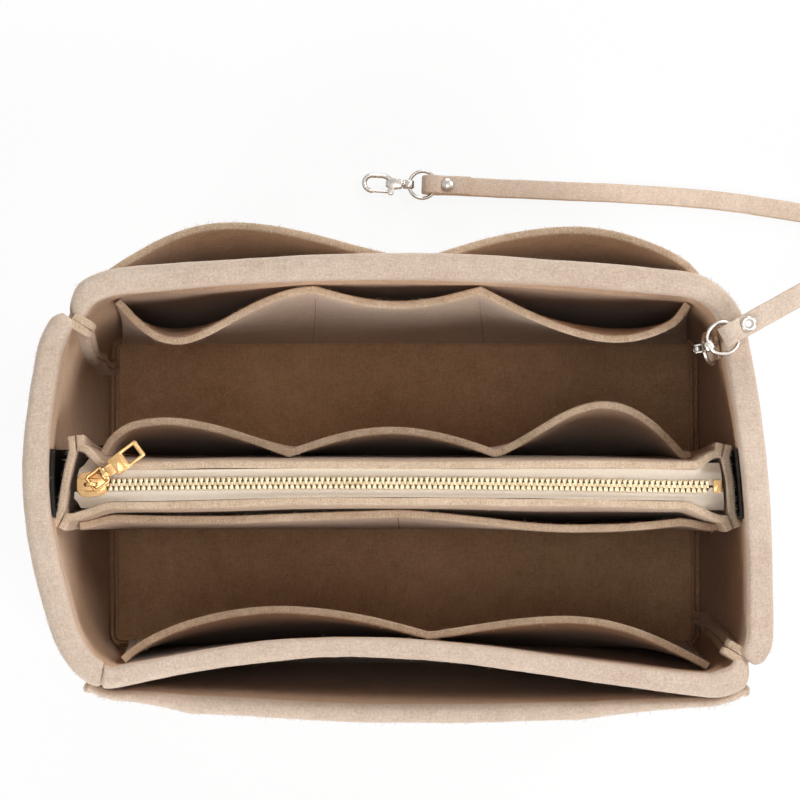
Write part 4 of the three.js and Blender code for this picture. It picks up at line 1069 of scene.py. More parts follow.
def bevelled(outline, low, high, edge):
    """A prism on a flat outline with its edges broken; the outline runs anticlockwise."""
    def pulled(distance):
        count = len(outline)
        ring = []
        for i, point in enumerate(outline):
            into = point - outline[i - 1]
            out = outline[(i + 1) % count] - point
            middle = into / abs(into) + out / abs(out)
            middle /= abs(middle)
            lean = max(0.35, (middle * (into / abs(into)).conjugate()).real)
            ring.append(point + 1j * middle * distance / lean)
        return ring

    levels = ((edge, low), (edge * 0.3, low + edge * 0.3), (0, low + edge),
              (0, high - edge), (edge * 0.3, high - edge * 0.3), (edge, high))
    rings = [[at(point, z) for point in pulled(distance)] for distance, z in levels]
    points, faces = loft(rings, capped=False)
    count = len(outline)
    faces.append((tuple(range(count)), 0))
    faces.append((tuple(range(len(points) - count, len(points))), 0))
    return points, faces


def shifted(made, x, y, z):
    points, faces = made
    return [(px + x, py + y, pz + z) for px, py, pz in points], faces


def tooth(side):
    """One tooth: a clamped root, a narrow neck and a rounded head that reaches past the middle."""
    outline = [complex(x, side * y) for y, x in HALF_TOOTH]
    outline += [complex(-x, side * y) for y, x in reversed(HALF_TOOTH)]
    return bevelled(outline[::-side], -TOOTH_HEIGHT / 2, TOOTH_HEIGHT / 2, 0.14)


def tape_bead(side, start):
    """The corded edge of a tape, which the teeth are clamped on."""
    rings = []
    for x in steps(start, start + (TOOTH_COUNT - 0.6) * TOOTH_PITCH, 60):
        ring = []
        for angle in around(8):
            y = side * (BEAD + BEAD_HALF * math.cos(angle))
            ring.append(in_pouch(x, y, ZIP_Z + BEAD_RISE * math.sin(angle)))
        rings.append(ring)
    return loft(rings, finish=lambda i: 1, end_finish=1)


for which, side in ZIP_SIDES:
    start = CHAIN_FROM + (TOOTH_PITCH / 2 if side > 0 else 0)
    one = tooth(side)
    row = [tape_bead(side, start)]
    for i in range(TOOTH_COUNT):
        row.append(shifted(one, *in_pouch(start + i * TOOTH_PITCH + FIRST_TOOTH, 0, ZIP_Z)))
    teeth = piece("zip_teeth_" + which + "_row", joined(*row), tooth_gold, cream)
    fasten(teeth, "zip_" + which, "gold_metal", "zip_teeth_" + which)


def rounded_box(x, y, half_x, half_y, radius, count=4):
    """Anticlockwise outline of a rectangle with round corners."""
    outline = []
    for cx, cy, start in ((1, -1, -90), (1, 1, 0), (-1, 1, 90), (-1, -1, 180)):
        for angle in steps(start, start + 90, count):
            centre = complex(x + cx * (half_x - radius), y + cy * (half_y - radius))
            outline.append(centre + cmath.rect(radius, math.radians(angle)))
    return outline


stop_place = in_pouch(STOP_FROM + CLEAR + STOP_LENGTH / 2, 0, ZIP_Z)
stop = bevelled(rounded_box(0, 0, STOP_LENGTH / 2, 2.4, 0.5), -1.2, 1.2, 0.25)
bottom_stop = piece("bottom_stop", shifted(stop, *stop_place), gold)
fasten(bottom_stop, "pouch", "gold_metal", "zip_bottom_stop")
for which, side in ZIP_SIDES:
    name = "zip_top_stop_" + which
    clamp = bevelled(rounded_box(0, side * 1.95, 1, 0.45, 0.25), -1, 1, 0.15)
    top_stop = piece(name + "_clamp", shifted(clamp, *in_pouch(SLIDER_X, 0, ZIP_Z)), gold)
    fasten(top_stop, "zip_" + which, "gold_metal", name)

# Slider and pull: a cast gold body that runs on both rows, with a bridge that holds a wire link.
# The link carries a flat pull tab with a stepped shoulder and a rectangular window.
SLIDER_WIDTH = 9.6
SLIDER_PLATE = 1.2
SLIDER_SHAPE = ((-1, 0.3), (-0.97, 0.52), (-0.82, 0.8), (-0.6, 0.97), (-0.3, 1), (0.2, 0.98), (0.6, 0.88),
                (0.92, 0.74), (1, 0.66))
CHANNEL = 2.8
BRIDGE_HALF = 2.6
BRIDGE_RISE = 3.9
LINK_WIRE = 0.55
LINK_HALF = 3.1
LINK_BEND = 0.9
LINK_SPACING = 6.6
PULL_Z = ZIP_Z + CHANNEL / 2 + SLIDER_PLATE + 2
PULL_WAY = cmath.rect(1, math.radians(37))
TAB_LENGTH = 17
TAB_WIDTH = 7.2
TAB_THICK = 1.6
TAB_CORNER = 0.4
TAB_EDGE = ((0.35, 0), (0.1, 0.1), (0, 0.4))
WINDOW = (10, 15.2, 2.35)
WINDOW_EDGE = ((0.55, 0), (0.12, 0.15), (0, 0.5))
HALF_BARREL = ((-1.9, 0.9), (-2.1, 1.1), (-2.1, 1.45), (-1.9, 1.62))


def tube(path, radius, sides=12, closed=False, fat=None):
    """A round wire along points, with its thickness scaled along it where asked."""
    count = len(path)
    rings = []
    normal = None
    for i, point in enumerate(path):
        before = path[i - 1] if closed or i else path[0]
        after = path[(i + 1) % count] if closed or i < count - 1 else path[-1]
        along = (Vector(after) - Vector(before)).normalized()
        if normal is None:
            normal = along.orthogonal().normalized()
        normal = (normal - along * normal.dot(along)).normalized()
        size = radius * (fat(i / (count - 1)) if fat else 1)
        rings.append(hoop(Vector(point), normal, along.cross(normal), size, around(sides)))
    return loft(rings, closed)


def mirrored(path):
    """Half an outline below its axis, with its other half."""
    return path + [point.conjugate() for point in reversed(path)]


def slider_body():
    half = SLIDER_LENGTH / 2
    wide = SLIDER_WIDTH / 2
    outline = mirrored([complex(half * x, -wide * y) for x, y in SLIDER_SHAPE])
    edge = CHANNEL / 2
    plates = [bevelled(outline, low, low + SLIDER_PLATE, 0.4) for low in (edge, -edge - SLIDER_PLATE)]
    post = [complex(half * x, y) for x, y in ((-0.97, 0), (-0.8, -1.1), (-0.35, 0), (-0.8, 1.1))]
    plates.append(bevelled(post, -edge - 0.2, edge + 0.2, 0.1))
    for side in (-1, 1):
        for low in (edge - 0.5, -edge - 0.2):
            rail = rounded_box(-half * 0.2, side * (wide - 0.55), half * 0.35, 0.5, 0.3)
            plates.append(bevelled(rail, low, low + 0.7, 0.12))
    top = edge + SLIDER_PLATE
    arch = [(-BRIDGE_HALF + 0.45, 0, top - 0.3), (-BRIDGE_HALF + 0.4, 0, top + BRIDGE_RISE - 1.4)]
    for angle in steps(180, 0, 8):
        x = (BRIDGE_HALF - 0.42) * math.cos(math.radians(angle))
        arch.append((x, 0, top + BRIDGE_RISE - 1.6 + 1.2 * math.sin(math.radians(angle))))
    arch += [(BRIDGE_HALF - 0.4, 0, top + BRIDGE_RISE - 1.4), (BRIDGE_HALF - 0.45, 0, top - 0.3)]
    points, faces = tube(arch, 0.5, 10)
    plates.append(([(x, y * 1.6, z) for x, y, z in points], faces))
    for y in (-2.6, 2.6):
        rib = [(-half * 0.75, y * 0.75, top), (-half * 0.2, y, top + 0.12), (half * 0.6, y * 0.86, top)]
        plates.append(tube(rib, 0.28, 8))
    return shifted(joined(*plates), *in_pouch(SLIDER_X, 0, ZIP_Z))


def pulled_out(made):
    """A piece drawn along X from the link's first bar, turned the way that the pull points."""
    points, faces = made
    hook_x, hook_y, _ = in_pouch(SLIDER_X, 0, ZIP_Z)
    turned = []
    for x, y, z in points:
        place = complex(x, y) * PULL_WAY
        turned.append((hook_x + place.real, hook_y + place.imag, PULL_Z + z))
    return turned, faces


def tab_body():
    """The tab and its window, drawn as one loop of sections round the window's middle."""
    half = TAB_WIDTH / 2
    edge = mirrored([complex(-1.2, -2.1), complex(3.2, -2.1), complex(4.2, -half),
                     complex(TAB_LENGTH - TAB_CORNER, -half), complex(TAB_LENGTH, TAB_CORNER - half)])
    low, high, open_half = WINDOW
    hole = mirrored([complex(low, -open_half), complex(high, -open_half)])
    middle = complex((low + high) / 2, 0)

    def reach(outline, angle):
        ray = cmath.rect(1, angle)
        best = 0
        for a, b in zip(outline, outline[1:] + outline[:1]):
            p, q = (a - middle) / ray, (b - middle) / ray
            if p.imag * q.imag <= 0 and p.imag != q.imag:
                best = max(best, (p.real * q.imag - q.real * p.imag) / (q.imag - p.imag))
        return middle + ray * best

    angles = {round(cmath.phase(point - middle), 4) for point in edge + hole}
    angles |= {round(angle, 4) for angle in steps(-math.pi, math.pi, 32)[:-1]}
    thick = TAB_THICK / 2
    rings = []
    for angle in sorted(angles):
        out, hollow = reach(edge, angle), reach(hole, angle)
        inward = (hollow - out) / abs(hollow - out)
        upper = [(out + inward * share, thick - drop) for share, drop in TAB_EDGE]
        lower = [(point, -z) for point, z in reversed(upper)]
        within = [(hollow - inward * share, drop - thick) for share, drop in WINDOW_EDGE]
        above = [(point, -z) for point, z in reversed(within)]
        rings.append([at(point, z) for point, z in upper + lower + within + above])
    return loft(rings, closed=True)


slide = piece("slider_body", slider_body(), gold)
fasten(slide, "slider", "gold_metal", "slider")
link_loop = rounded_box(LINK_SPACING / 2, 0, LINK_SPACING / 2, LINK_HALF, LINK_BEND, 5)
link_wire = tube([at(point, 0) for point in link_loop], LINK_WIRE, 12, closed=True)
link = piece("pull_link_wire", pulled_out(link_wire), gold)
fasten(link, "pull_link", "gold_metal", "pull_link")
barrel = []
for y, radius in HALF_BARREL + tuple((-y, radius) for y, radius in reversed(HALF_BARREL)):
    barrel.append([(radius * math.cos(a), y, radius * math.sin(a)) for a in around(24)])
step = bevelled(rounded_box(6.2, 0, 2.1, TAB_WIDTH / 2 - 0.2, 0.5), -1.05, 1.05, 0.3)
tab_parts = shifted(joined(tab_body(), loft(barrel, closed=True), step), LINK_SPACING, 0, 0)
tab = piece("pull_tab_plate", pulled_out(tab_parts), gold)
fasten(tab, "pull_tab", "gold_metal", "pull_tab")

# Ring tab and D-ring: a short felt loop sewn inside the back right corner, with a nickel D-ring on it.
# The strap's clasp hooks on here.
RING_TAB_LAYER = 1.2
RING_TAB_WIDTH = 9
RING_TAB_REACH = 3.6
D_HALF = 6
D_LEG = 2
D_CORNER = 1.2
D_WIRE = 0.8
D_SLOPE = math.radians(65)
D_STATION = 2.965
RING_RADIUS = 5.95
RING_WIRE = 0.75
RING_TILT = math.radians(10)
CLASP_TIP = 19.65
CLASP_BAR = 1.05
D_REACH = D_LEG + D_HALF
EYE_Z = HEIGHT + 3.6 - RING_RADIUS * math.sin(RING_TILT)
BAR_Z = EYE_Z - (CLASP_TIP - CLASP_BAR - D_WIRE - CLEAR) - D_REACH * math.sin(D_SLOPE)
wall_here = inset(D_STATION, inner_depth(BAR_Z), BAR_Z)
wall_along = outline_at(D_STATION, BAR_Z)[1]
WALL_OUT = Vector((wall_along.imag, -wall_along.real, 0))
WALL_ALONG = Vector((wall_along.real, wall_along.imag, 0))
BAR = Vector(at(wall_here, BAR_Z)) - WALL_OUT * RING_TAB_REACH


def tongue(z):
    turn = RING_TAB_WIDTH / 2 / (WIDTH - 2 * BASE_RADIUS)
    return [inset(s, inner_depth(z) + CLEAR, z) for s in steps(D_STATION - turn, D_STATION + turn, 8)]


def open_loop(radius, gap, lip):
    """Section of a felt layer round the bar, open towards the wall, with a point on each lip."""
    arc = [cmath.rect(radius, angle) for angle in steps(gap, 2 * math.pi - gap, 16)]
    return [lip, *arc, lip.conjugate()]


bore = D_WIRE + CLEAR
layer = bore + RING_TAB_LAYER
reach = RING_TAB_REACH - CLEAR - RING_TAB_LAYER / 2
section = open_loop(layer, 1.2, complex(reach, layer * 0.75))
section += open_loop(bore, 0.5, complex(bore + 0.3, 0.2))[::-1]
tab_rings = []
for y in steps(-RING_TAB_WIDTH / 2, RING_TAB_WIDTH / 2, 8):
    places = [BAR + WALL_OUT * p.real + WALL_ALONG * y + Vector((0, 0, p.imag)) for p in section]
    tab_rings.append([tuple(place) for place in places])
tongue_sheet = standing_sheet(tongue, steps(BAR_Z - 12, BAR_Z + 8, 8), RING_TAB_LAYER, 0)
ring_tab = piece("ring_tab_felt", joined(loft(tab_rings), tongue_sheet), felt, cut_felt)
fasten(ring_tab, "box", "felt", "ring_tab")

corner = complex(D_CORNER, D_CORNER - D_HALF)
d_path = [corner + cmath.rect(D_CORNER, math.radians(angle)) for angle in steps(180, 270, 5)]
d_path += [D_LEG + cmath.rect(D_HALF, math.radians(angle)) for angle in steps(-90, 90, 28)]
d_path += [point.conjugate() for point in reversed(d_path[:6])]
d_path += [complex(0, y) for y in steps(D_HALF - D_CORNER, D_CORNER - D_HALF, 8)[1:-1]]
d_out = Vector((0, 0, math.sin(D_SLOPE))) - WALL_OUT * math.cos(D_SLOPE)
d_across = -WALL_ALONG
d_points = [tuple(BAR + d_out * point.real + d_across * point.imag) for point in d_path]
d_ring = piece("d_ring_wire", tube(d_points, D_WIRE, 14, closed=True), nickel)
fasten(d_ring, "hanging_ring", "nickel", "d_ring")

# Strap: one band of felt, cut 8 mm wide, with each end turned through a ring and riveted to itself.
# The near end leaves the rim by the D-ring; the far end lies on the floor behind the box.
STRAP_WIDTH = 8
STRAP = 3
LOOP_CENTRE = 3.65
RIVET_REACH = 11
FLAP_REACH = 21
NEAR_WAY = math.radians(29.3)
FREE_WAY = math.radians(-2.3)
FREE_EYE_Z = 2.8
FREE_LOOP_Z = 4.3
STRAP_ROUTE = (
    (147.6, 71.6, 170.6), (159.8, 78.5, 168.5), (171.2, 84.9, 160), (180.6, 90.6, 146), (187.9, 95.7, 127),
    (193, 100.7, 104), (197, 106, 79), (200, 111, 54), (200.5, 114.5, 32), (196.5, 117.4, 14.5),
    (188, 119.8, 4.6), (177, 121.7, 1.8), (165, 123.7, 1.8), (138, 127.6, 1.8), (103, 130.4, 1.8),
    (68, 132, 1.8), (44, 133, 1.8),
)
UP = Vector((0, 0, 1))


def heading(way, tilt=0):
    level = Vector((math.cos(way), math.sin(way), 0))
    return level * math.cos(tilt) + UP * math.sin(tilt)


near_out = heading(NEAR_WAY, RING_TILT)
near_across = UP.cross(heading(NEAR_WAY))
near_up = near_out.cross(near_across)
near_eye = BAR - WALL_OUT * (D_REACH * math.cos(D_SLOPE))
near_eye.z = EYE_Z
near_ring = near_eye + near_out * RING_RADIUS
free_out = heading(FREE_WAY)
free_across = UP.cross(free_out)
free_tilt = math.asin((FREE_LOOP_Z - FREE_EYE_Z) / (2 * RING_RADIUS))
free_ring_out = heading(FREE_WAY, free_tilt)
free_ring = Vector((7.8, 134.5, (FREE_LOOP_Z + FREE_EYE_Z) / 2))
free_eye = free_ring - free_ring_out * RING_RADIUS
free_loop = Vector((free_ring.x, free_ring.y, FREE_LOOP_Z))


def strap_end():
    """One end as (reach, height) from the ring's centre: in on the lower layer, round, out on the upper."""
    opened = STRAP / 2 + RING_WIRE + CLEAR
    shut = STRAP / 2 + CLEAR / 2
    outer = STRAP / 2 + 0.4
    bend = math.acos(1 - (opened - shut) / (opened + outer))
    swing = (opened + outer) * math.sin(bend)
    centre = complex(RING_RADIUS + swing, shut + outer)
    layer = [RING_RADIUS + cmath.rect(opened, a) for a in steps(math.pi / 2, math.pi / 2 - bend, 4)]
    layer += [centre + cmath.rect(outer, a) for a in steps(1.5 * math.pi - bend, 1.5 * math.pi, 4)[1:]]
    layer += [complex(reach, shut) for reach in steps(RIVET_REACH + 0.6, FLAP_REACH, 6)]
    turn = [LOOP_CENTRE + cmath.rect(opened, a) for a in steps(1.5 * math.pi, math.pi / 2, 12)]
    lower = [point.conjugate() for point in reversed(layer)]
    return lower, turn, layer


def smooth_line(points, count):
    """Points along a smooth curve through the given ones."""
    line = []
    for i in range(len(points) - 1):
        a, b = points[max(0, i - 1)], points[i]
        c, d = points[i + 1], points[min(len(points) - 1, i + 2)]
        for t in steps(0, 1, count)[:-1]:
            line.append(0.5 * (2 * b + (c - a) * t + (2 * a - 5 * b + 4 * c - d) * t * t
                               + (3 * b - a - 3 * c + d) * t**3))
    return line + [points[-1]]


lower, turn, upper = strap_end()
near_flap = [near_ring + near_out * p.real + near_up * p.imag for p in lower + turn]
near_run = [near_ring + near_out * p.real + near_up * p.imag for p in upper]
free_run = [free_loop + free_out * p.real + UP * p.imag for p in lower]
free_flap = [free_loop + free_out * p.real + UP * p.imag for p in turn + upper]
between = smooth_line([*near_run[-2:], *[Vector(place) for place in STRAP_ROUTE], *free_run[:2]], 7)
for point in between:
    point.z = max(point.z, STRAP / 2 + CLEAR)
strap_path = near_flap + near_run[:-2] + between + free_run[2:] + free_flap
# The strap's felt is drawn paler than the box's felt: painted light for the band lying low on the floor.
lightened_strap_felt = felt_finish("strap_felt", (0.5, 0.375, 0.28), (0.83, 0.69, 0.575), 1.0, 0.9, 0.5)
STRAP_SHAPE = ((-0.5, -0.36), (-0.47, -0.47), (-0.42, -0.5), (0.42, -0.5), (0.47, -0.47), (0.5, -0.36),
               (0.5, 0.36), (0.47, 0.47), (0.42, 0.5), (-0.42, 0.5), (-0.47, 0.47), (-0.5, 0.36))
STRAP_EDGES = (0, 4, 5, 6, 10, 11)
strap_rings = []
twist_from = len(near_flap) + len(near_run)
twist_to = twist_from + len(between)
for i, point in enumerate(strap_path):
    before = strap_path[max(0, i - 1)]
    after = strap_path[min(len(strap_path) - 1, i + 1)]
    along = (after - before).normalized()
    wide = near_across.lerp(free_across, smooth(i, twist_from, twist_to))
    wide = (wide - along * wide.dot(along)).normalized()
    face = along.cross(wide)
    waver = 0.12 * noise.noise(point / 5)
    ring = [tuple(point + wide * (w * STRAP_WIDTH + waver) + face * h * STRAP) for w, h in STRAP_SHAPE]
    strap_rings.append(ring)


def band(rings):
    return loft(rings, finish=lambda i: int(i in STRAP_EDGES), end_finish=1)


run_from = len(lower)
run_to = len(strap_rings) - len(upper)
strap = piece("strap_felt", band(strap_rings[run_from:run_to]), lightened_strap_felt, cut_felt)
flap_bands = joined(band(strap_rings[:run_from + 1]), band(strap_rings[run_to - 1:]))
flaps = piece("strap_flaps", flap_bands, lightened_strap_felt, cut_felt)
fasten(flaps, "box", "felt")
fasten(strap, "box", "felt", "strap")

# Strap hardware: at each end a nickel ring, a two-part rivet and a swivel clasp with a sprung gate.
# The rivet's domed cap shows on the far end, and its dished back on the near end.
RIVET_HEAD = 2.9
RIVET_DOME = 1.3
RIVET_FLANGE = 0.7
EYE_HOLE = 1.15
EYE = 2.2
EYE_WIDTH = 3.6
BODY_FROM = 3
COLLAR = 1.7
BODY_TO = 10.2
BODY_HALF = 2.6
CLASP_THICK = 3.4
HOOK_REACH = 3.4
PIN_X = 7.9
PIN_Y = -3.7
LUG = 1.3
AXIS = 0.02


def framed(made, origin, x_way, y_way, z_way):
    """A piece drawn in its own axes, set in place along the given directions."""
    points, faces = made
    return [tuple(origin + x_way * x + y_way * y + z_way * z) for x, y, z in points], faces


def lathe(profile, count=28):
    """A closed profile of (radius, height) turned about Z."""
    rings = []
    for angle in around(count):
        rings.append([(r * math.cos(angle), r * math.sin(angle), z) for r, z in profile])
    return loft(rings, closed=True)


def turned_about_x(made):
    points, faces = made
    return [(z, x, y) for x, y, z in points], faces


def turned_about_y(made):
    points, faces = made
    return [(y, z, x) for x, y, z in points], faces


def wire_ring():
    path = [(RING_RADIUS * math.cos(a), RING_RADIUS * math.sin(a), 0) for a in around(56)]
    return tube(path, RING_WIRE, 14, closed=True)


def rivet_cap():
    angles = steps(0.12, math.pi / 2 - 0.02, 8)
    dome = [(RIVET_HEAD * math.cos(angle), RIVET_DOME * math.sin(angle)) for angle in angles]
    return lathe([(AXIS, 0), (RIVET_HEAD, 0), *dome, (AXIS, RIVET_DOME / 2)])


def rivet_stud():
    length = 2 * STRAP + 3 * CLEAR
    dish = [(AXIS, -0.52), (0.9, -0.52), (1.3, -0.55), (1.6, -0.64), (1.9, -RIVET_FLANGE),
            (2.3, -RIVET_FLANGE), (2.65, -0.62), (2.82, -0.5), (RIVET_HEAD, -0.35), (RIVET_HEAD, 0)]
    return lathe(dish + [(1.3, 0), (1.3, length), (AXIS, length), (AXIS, 1)], 48)


def clasp_swivel():
    half_eye = [(EYE_HOLE, -1.3), (1.3, -1.65), (1.7, -EYE_WIDTH / 2), (2.05, -1.6), (EYE, -1.2)]
    eye = lathe(half_eye + [(r, -z) for r, z in reversed(half_eye)])
    stem = lathe([(AXIS, 1.5), (1.5, 1.6), (1.95, 1.8), (2.05, 2), (2.05, 2.4), (1.9, 2.6), (1.2, 2.7),
                  (1.1, 9.3), (1.5, 9.4), (1.5, 10), (AXIS, 10)])
    return joined(turned_about_y(eye), turned_about_x(stem))


def clasp_hook():
    body = mirrored([complex(BODY_FROM, -COLLAR), complex(BODY_FROM + 0.6, -COLLAR - 0.3),
                     complex(BODY_TO - 2.2, -BODY_HALF), complex(BODY_TO, 1.6 - BODY_HALF)])
    block = bevelled(body, -CLASP_THICK / 2, CLASP_THICK / 2, 0.5)
    lug = [complex(PIN_X, PIN_Y) + cmath.rect(LUG, angle) for angle in steps(math.pi, 2 * math.pi, 10)]
    lug += [complex(PIN_X + LUG, 0.8 - BODY_HALF), complex(PIN_X - LUG, 0.8 - BODY_HALF)]
    lugs = [bevelled(lug, middle - 0.3, middle + 0.3, 0.12) for middle in (-1.35, 1.35)]
    bow = CLASP_TIP - HOOK_REACH
    path = [complex(BODY_TO - 2.4, BODY_HALF - 1.1), complex(BODY_TO - 0.4, HOOK_REACH - 0.55),
            complex(BODY_TO + 1.6, HOOK_REACH), complex(BODY_TO + 3.6, HOOK_REACH)]
    path += [bow + cmath.rect(HOOK_REACH, angle) for angle in steps(math.pi / 2, -math.pi / 2, 22)]
    path.append(complex(bow - 0.6, -HOOK_REACH))
    hook = tube([at(point, 0) for point in path], CLASP_BAR, 14, fat=lambda t: 1.05 - 0.15 * t)
    return joined(block, *lugs, hook)


def clasp_gate():
    nose = CLASP_TIP - HOOK_REACH - 0.6 - CLEAR - PIN_X
    lift = -HOOK_REACH - PIN_Y
    leaf = tube([(0.2, 0, 0), (1.5, lift * 0.3, 0), (nose * 0.6, lift * 0.7, 0), (nose, lift, 0)], 0.7)
    knuckle = lathe([(0.8, -0.7), (1.1, -0.7), (1.2, -0.6), (1.2, 0.6), (1.1, 0.7), (0.8, 0.7)], 20)
    return joined(leaf, knuckle)


def clasp_pin():
    half = CLASP_THICK / 2
    lower = [(AXIS, -half), (0.4, -half), (0.5, 0.1 - half)]
    return lathe(lower + [(r, -z) for r, z in reversed(lower)], 16)


def hardware(name, node, made, body, *place):
    fitted = piece(name, framed(made, *place), nickel)
    fasten(fitted, body, "nickel", node)


down = Vector((0, 0, -1))
eye_turn = math.atan2(-near_across.dot(d_across), -near_across.dot(WALL_OUT))
eye_y = WALL_OUT * math.cos(eye_turn) + d_across * math.sin(eye_turn)
near_place = (near_eye, down, WALL_OUT, d_across)
free_place = (free_eye, -free_out, free_across, down)
gate = shifted(clasp_gate(), PIN_X, PIN_Y, 0)
pin = shifted(clasp_pin(), PIN_X, PIN_Y, 0)
near_rivet = near_ring + near_out * RIVET_REACH
free_rivet = free_loop + free_out * RIVET_REACH
SEAT = STRAP + CLEAR * 1.5
near_seat = near_up * SEAT
near_turned = (near_out, -near_across, -near_up)
free_level = (free_out, free_across, UP)
hardware("near_ring_wire", "near_ring", wire_ring(), "box", near_ring, near_out, near_across, near_up)
hardware("near_rivet_dome", "near_rivet_cap", rivet_cap(), "box", near_rivet - near_seat, *near_turned)
hardware("near_rivet_dish", "near_rivet_stud", rivet_stud(), "box", near_rivet + near_seat, *near_turned)
hardware("near_swivel_post", "near_swivel", clasp_swivel(), "box", near_eye, down, eye_y, down.cross(eye_y))
hardware("near_hook_body", "near_hook", clasp_hook(), "box", *near_place)
hardware("near_gate_leaf", "near_gate", gate, "near_gate", *near_place)
hardware("near_gate_rod", "near_gate_pin", pin, "box", *near_place)
hardware("free_ring_wire", "free_ring", wire_ring(), "free_ring",
         free_ring, free_ring_out, free_across, free_ring_out.cross(free_across))
hardware("free_rivet_dome", "free_rivet_cap", rivet_cap(), "box", free_rivet + UP * SEAT, *free_level)
hardware("free_rivet_dish", "free_rivet_stud", rivet_stud(), "box", free_rivet - UP * SEAT, *free_level)
hardware("free_swivel_post", "free_swivel", clasp_swivel(), "free_swivel", *free_place)
hardware("free_hook_body", "free_hook", clasp_hook(), "free_clasp", *free_place)
hardware("free_gate_leaf", "free_gate", gate, "free_gate", *free_place)
hardware("free_gate_rod", "free_gate_pin", pin, "free_clasp", *free_place)

# Loose fibres: short wool ends that stand out of the felt along the rims and cut edges.
# A few longer pale hairs lie on the floor of the box.
FIBRE = 0.045
FIBRE_CURL = 0.5
FIBRE_SIDES = (0.8, 2.37, 3.94, 5.51)
FIBRE_SHAPE = ((-0.1, 1), (0.45, 0.9), (0.8, 0.6), (1, 0.15))
RIM_FIBRES = 1500
POCKET_FIBRES = 400
STRIP_FIBRES = 350
GUSSET_FIBRES = 80
rng = random.Random(7)


def fibre(root, way, length):
    """One fibre: a thin curved spike from the felt."""
    start = Vector(root)
    bend = Vector((rng.uniform(-1, 1), rng.uniform(-1, 1), rng.uniform(-1, 1))) * FIBRE_CURL
    across = way.orthogonal().normalized()
    other = way.cross(across).normalized()
    rings = []
    for t, fat in FIBRE_SHAPE:
        centre = start + way * (length * t) + bend * (length * t * t)
        rings.append(hoop(centre, across, other, FIBRE * fat, FIBRE_SIDES))
    return loft(rings)


def rim_fibres(count):
    made = []
    for _ in range(count):
        station = rng.uniform(0, 8)
        if abs((station - SEAM_SHARE) % 4 - 1) < 0.2:
            continue
        angle = math.radians(rng.choice((rng.gauss(165, 22), rng.gauss(20, 25))))
        level = HEIGHT - RIM / 2
        across = math.cos(angle)
        depth = RIM / 2 * (1 + across) - slim(station, HEIGHT) * max(0, across)
        z = level + RIM / 2 * max(0, math.sin(angle)) - (rng.uniform(0, 8) if math.sin(angle) < 0.3 else 0)
        _, tangent = outline_at(station, z)
        inward = 1j * tangent * math.cos(angle)
        lean = tangent * rng.gauss(0, 0.7)
        way = Vector(at(inward + lean, math.sin(angle) + rng.gauss(0, 0.3)))
        here = inset(station, depth, z)
        made.append(fibre(at(here, z), way.normalized(), rng.uniform(0.4, 1.3)))
    return made


def edge_fibres(path, z, thickness, count):
    made = []
    far = moved_left(path, thickness)
    for _ in range(count):
        i = rng.randrange(len(path) - 1)
        t = rng.random()
        side = rng.choice((0, 0.05, 0.95, 1))
        here = mix(mix(path[i], path[i + 1], t), mix(far[i], far[i + 1], t), side)
        outward = (path[i] - far[i]) * (1 if side < 0.5 else -1) / abs(thickness)
        outward += complex(rng.gauss(0, 0.6), rng.gauss(0, 0.6))
        way = Vector(at(outward, abs(rng.gauss(0.3, 0.4))))
        made.append(fibre(at(here, z - rng.uniform(0, 0.6)), way.normalized(), rng.uniform(0.4, 1.3)))
    return made


fuzz = rim_fibres(RIM_FIBRES)
for _ in range(POCKET_FIBRES):
    station = 8 + rng.uniform(POCKET_FROM + 0.05, POCKET_TO - 0.05)
    belly = pocket_belly(station)
    z = POCKET_HEIGHT - rng.uniform(2, 9)
    depth = outer_depth(z) - pocket_stand(belly, z) - POCKET_RIM * mix(POCKET_THIN, 1, min(1, 2.5 * belly))
    _, tangent = outline_at(station, z)
    outward = -1j * tangent + complex(rng.gauss(0, 0.5), rng.gauss(0, 0.3))
    way = Vector(at(outward, rng.gauss(0.2, 0.4)))
    fuzz.append(fibre(at(inset(station, depth, z), z), way.normalized(), rng.uniform(0.5, 1.6)))
for strip in BOX_STRIPS:
    top = strip["top"]
    fuzz += edge_fibres(strip_path(strip, top), top, strip_thickness(strip), STRIP_FIBRES)
box_fuzz = piece("box_fibres", joined(*fuzz), felt)
fasten(box_fuzz, "box", "felt")
fuzz = []
for side in (-1, 1):
    fuzz += edge_fibres(panel_path(side, POUCH_TOP), POUCH_TOP, side * FELT, STRIP_FIBRES)
    fuzz += edge_fibres(gusset_path(side, POUCH_TOP), POUCH_TOP - GUSSET_DROP, -side * FELT, GUSSET_FIBRES)
for strip in (POUCH_BACK, POUCH_FRONT):
    top = strip["top"]
    fuzz += edge_fibres(pouch_strip_path(strip, top), top, strip["side"] * FELT, STRIP_FIBRES)
pouch_fuzz = piece("pouch_fibres", joined(*fuzz), felt)
fasten(pouch_fuzz, "pouch", "felt")

pale_hair, hair_skin, hair_spot = new_finish("pale_hair")
hair_tone = hair_spot.grain(1.5, 2)
hair_colour = hair_spot.tint(hair_tone, (0.6, 0.48, 0.36, 1), (0.95, 0.88, 0.78, 1))
dress(hair_skin, Base_Color=hair_colour, Roughness=0.6)
HAIR = 0.09
HAIR_STEPS = 8
HAIR_PLACES = ((-79, 41, 4, 1.2), (6, 57, 5, 2.2), (70, 46, 6, 0.7), (-89, -44, 3, 2), (-54, -37, 4, 0.4),
               (30, -44, 3, 1), (103, 29, 5, 2.7), (-20, 36, 3, 0.2))
hairs = []
for x, y, length, way in HAIR_PLACES:
    line = []
    turn = rng.uniform(-1.6, 1.6)
    point = complex(x, y)
    for t in steps(0, 1, HAIR_STEPS):
        line.append(at(point, FELT + 0.25 + 0.8 * math.sin(math.pi * t)))
        point += cmath.rect(length / HAIR_STEPS, way + turn * t)
    hairs.append(tube(line, HAIR, 6))
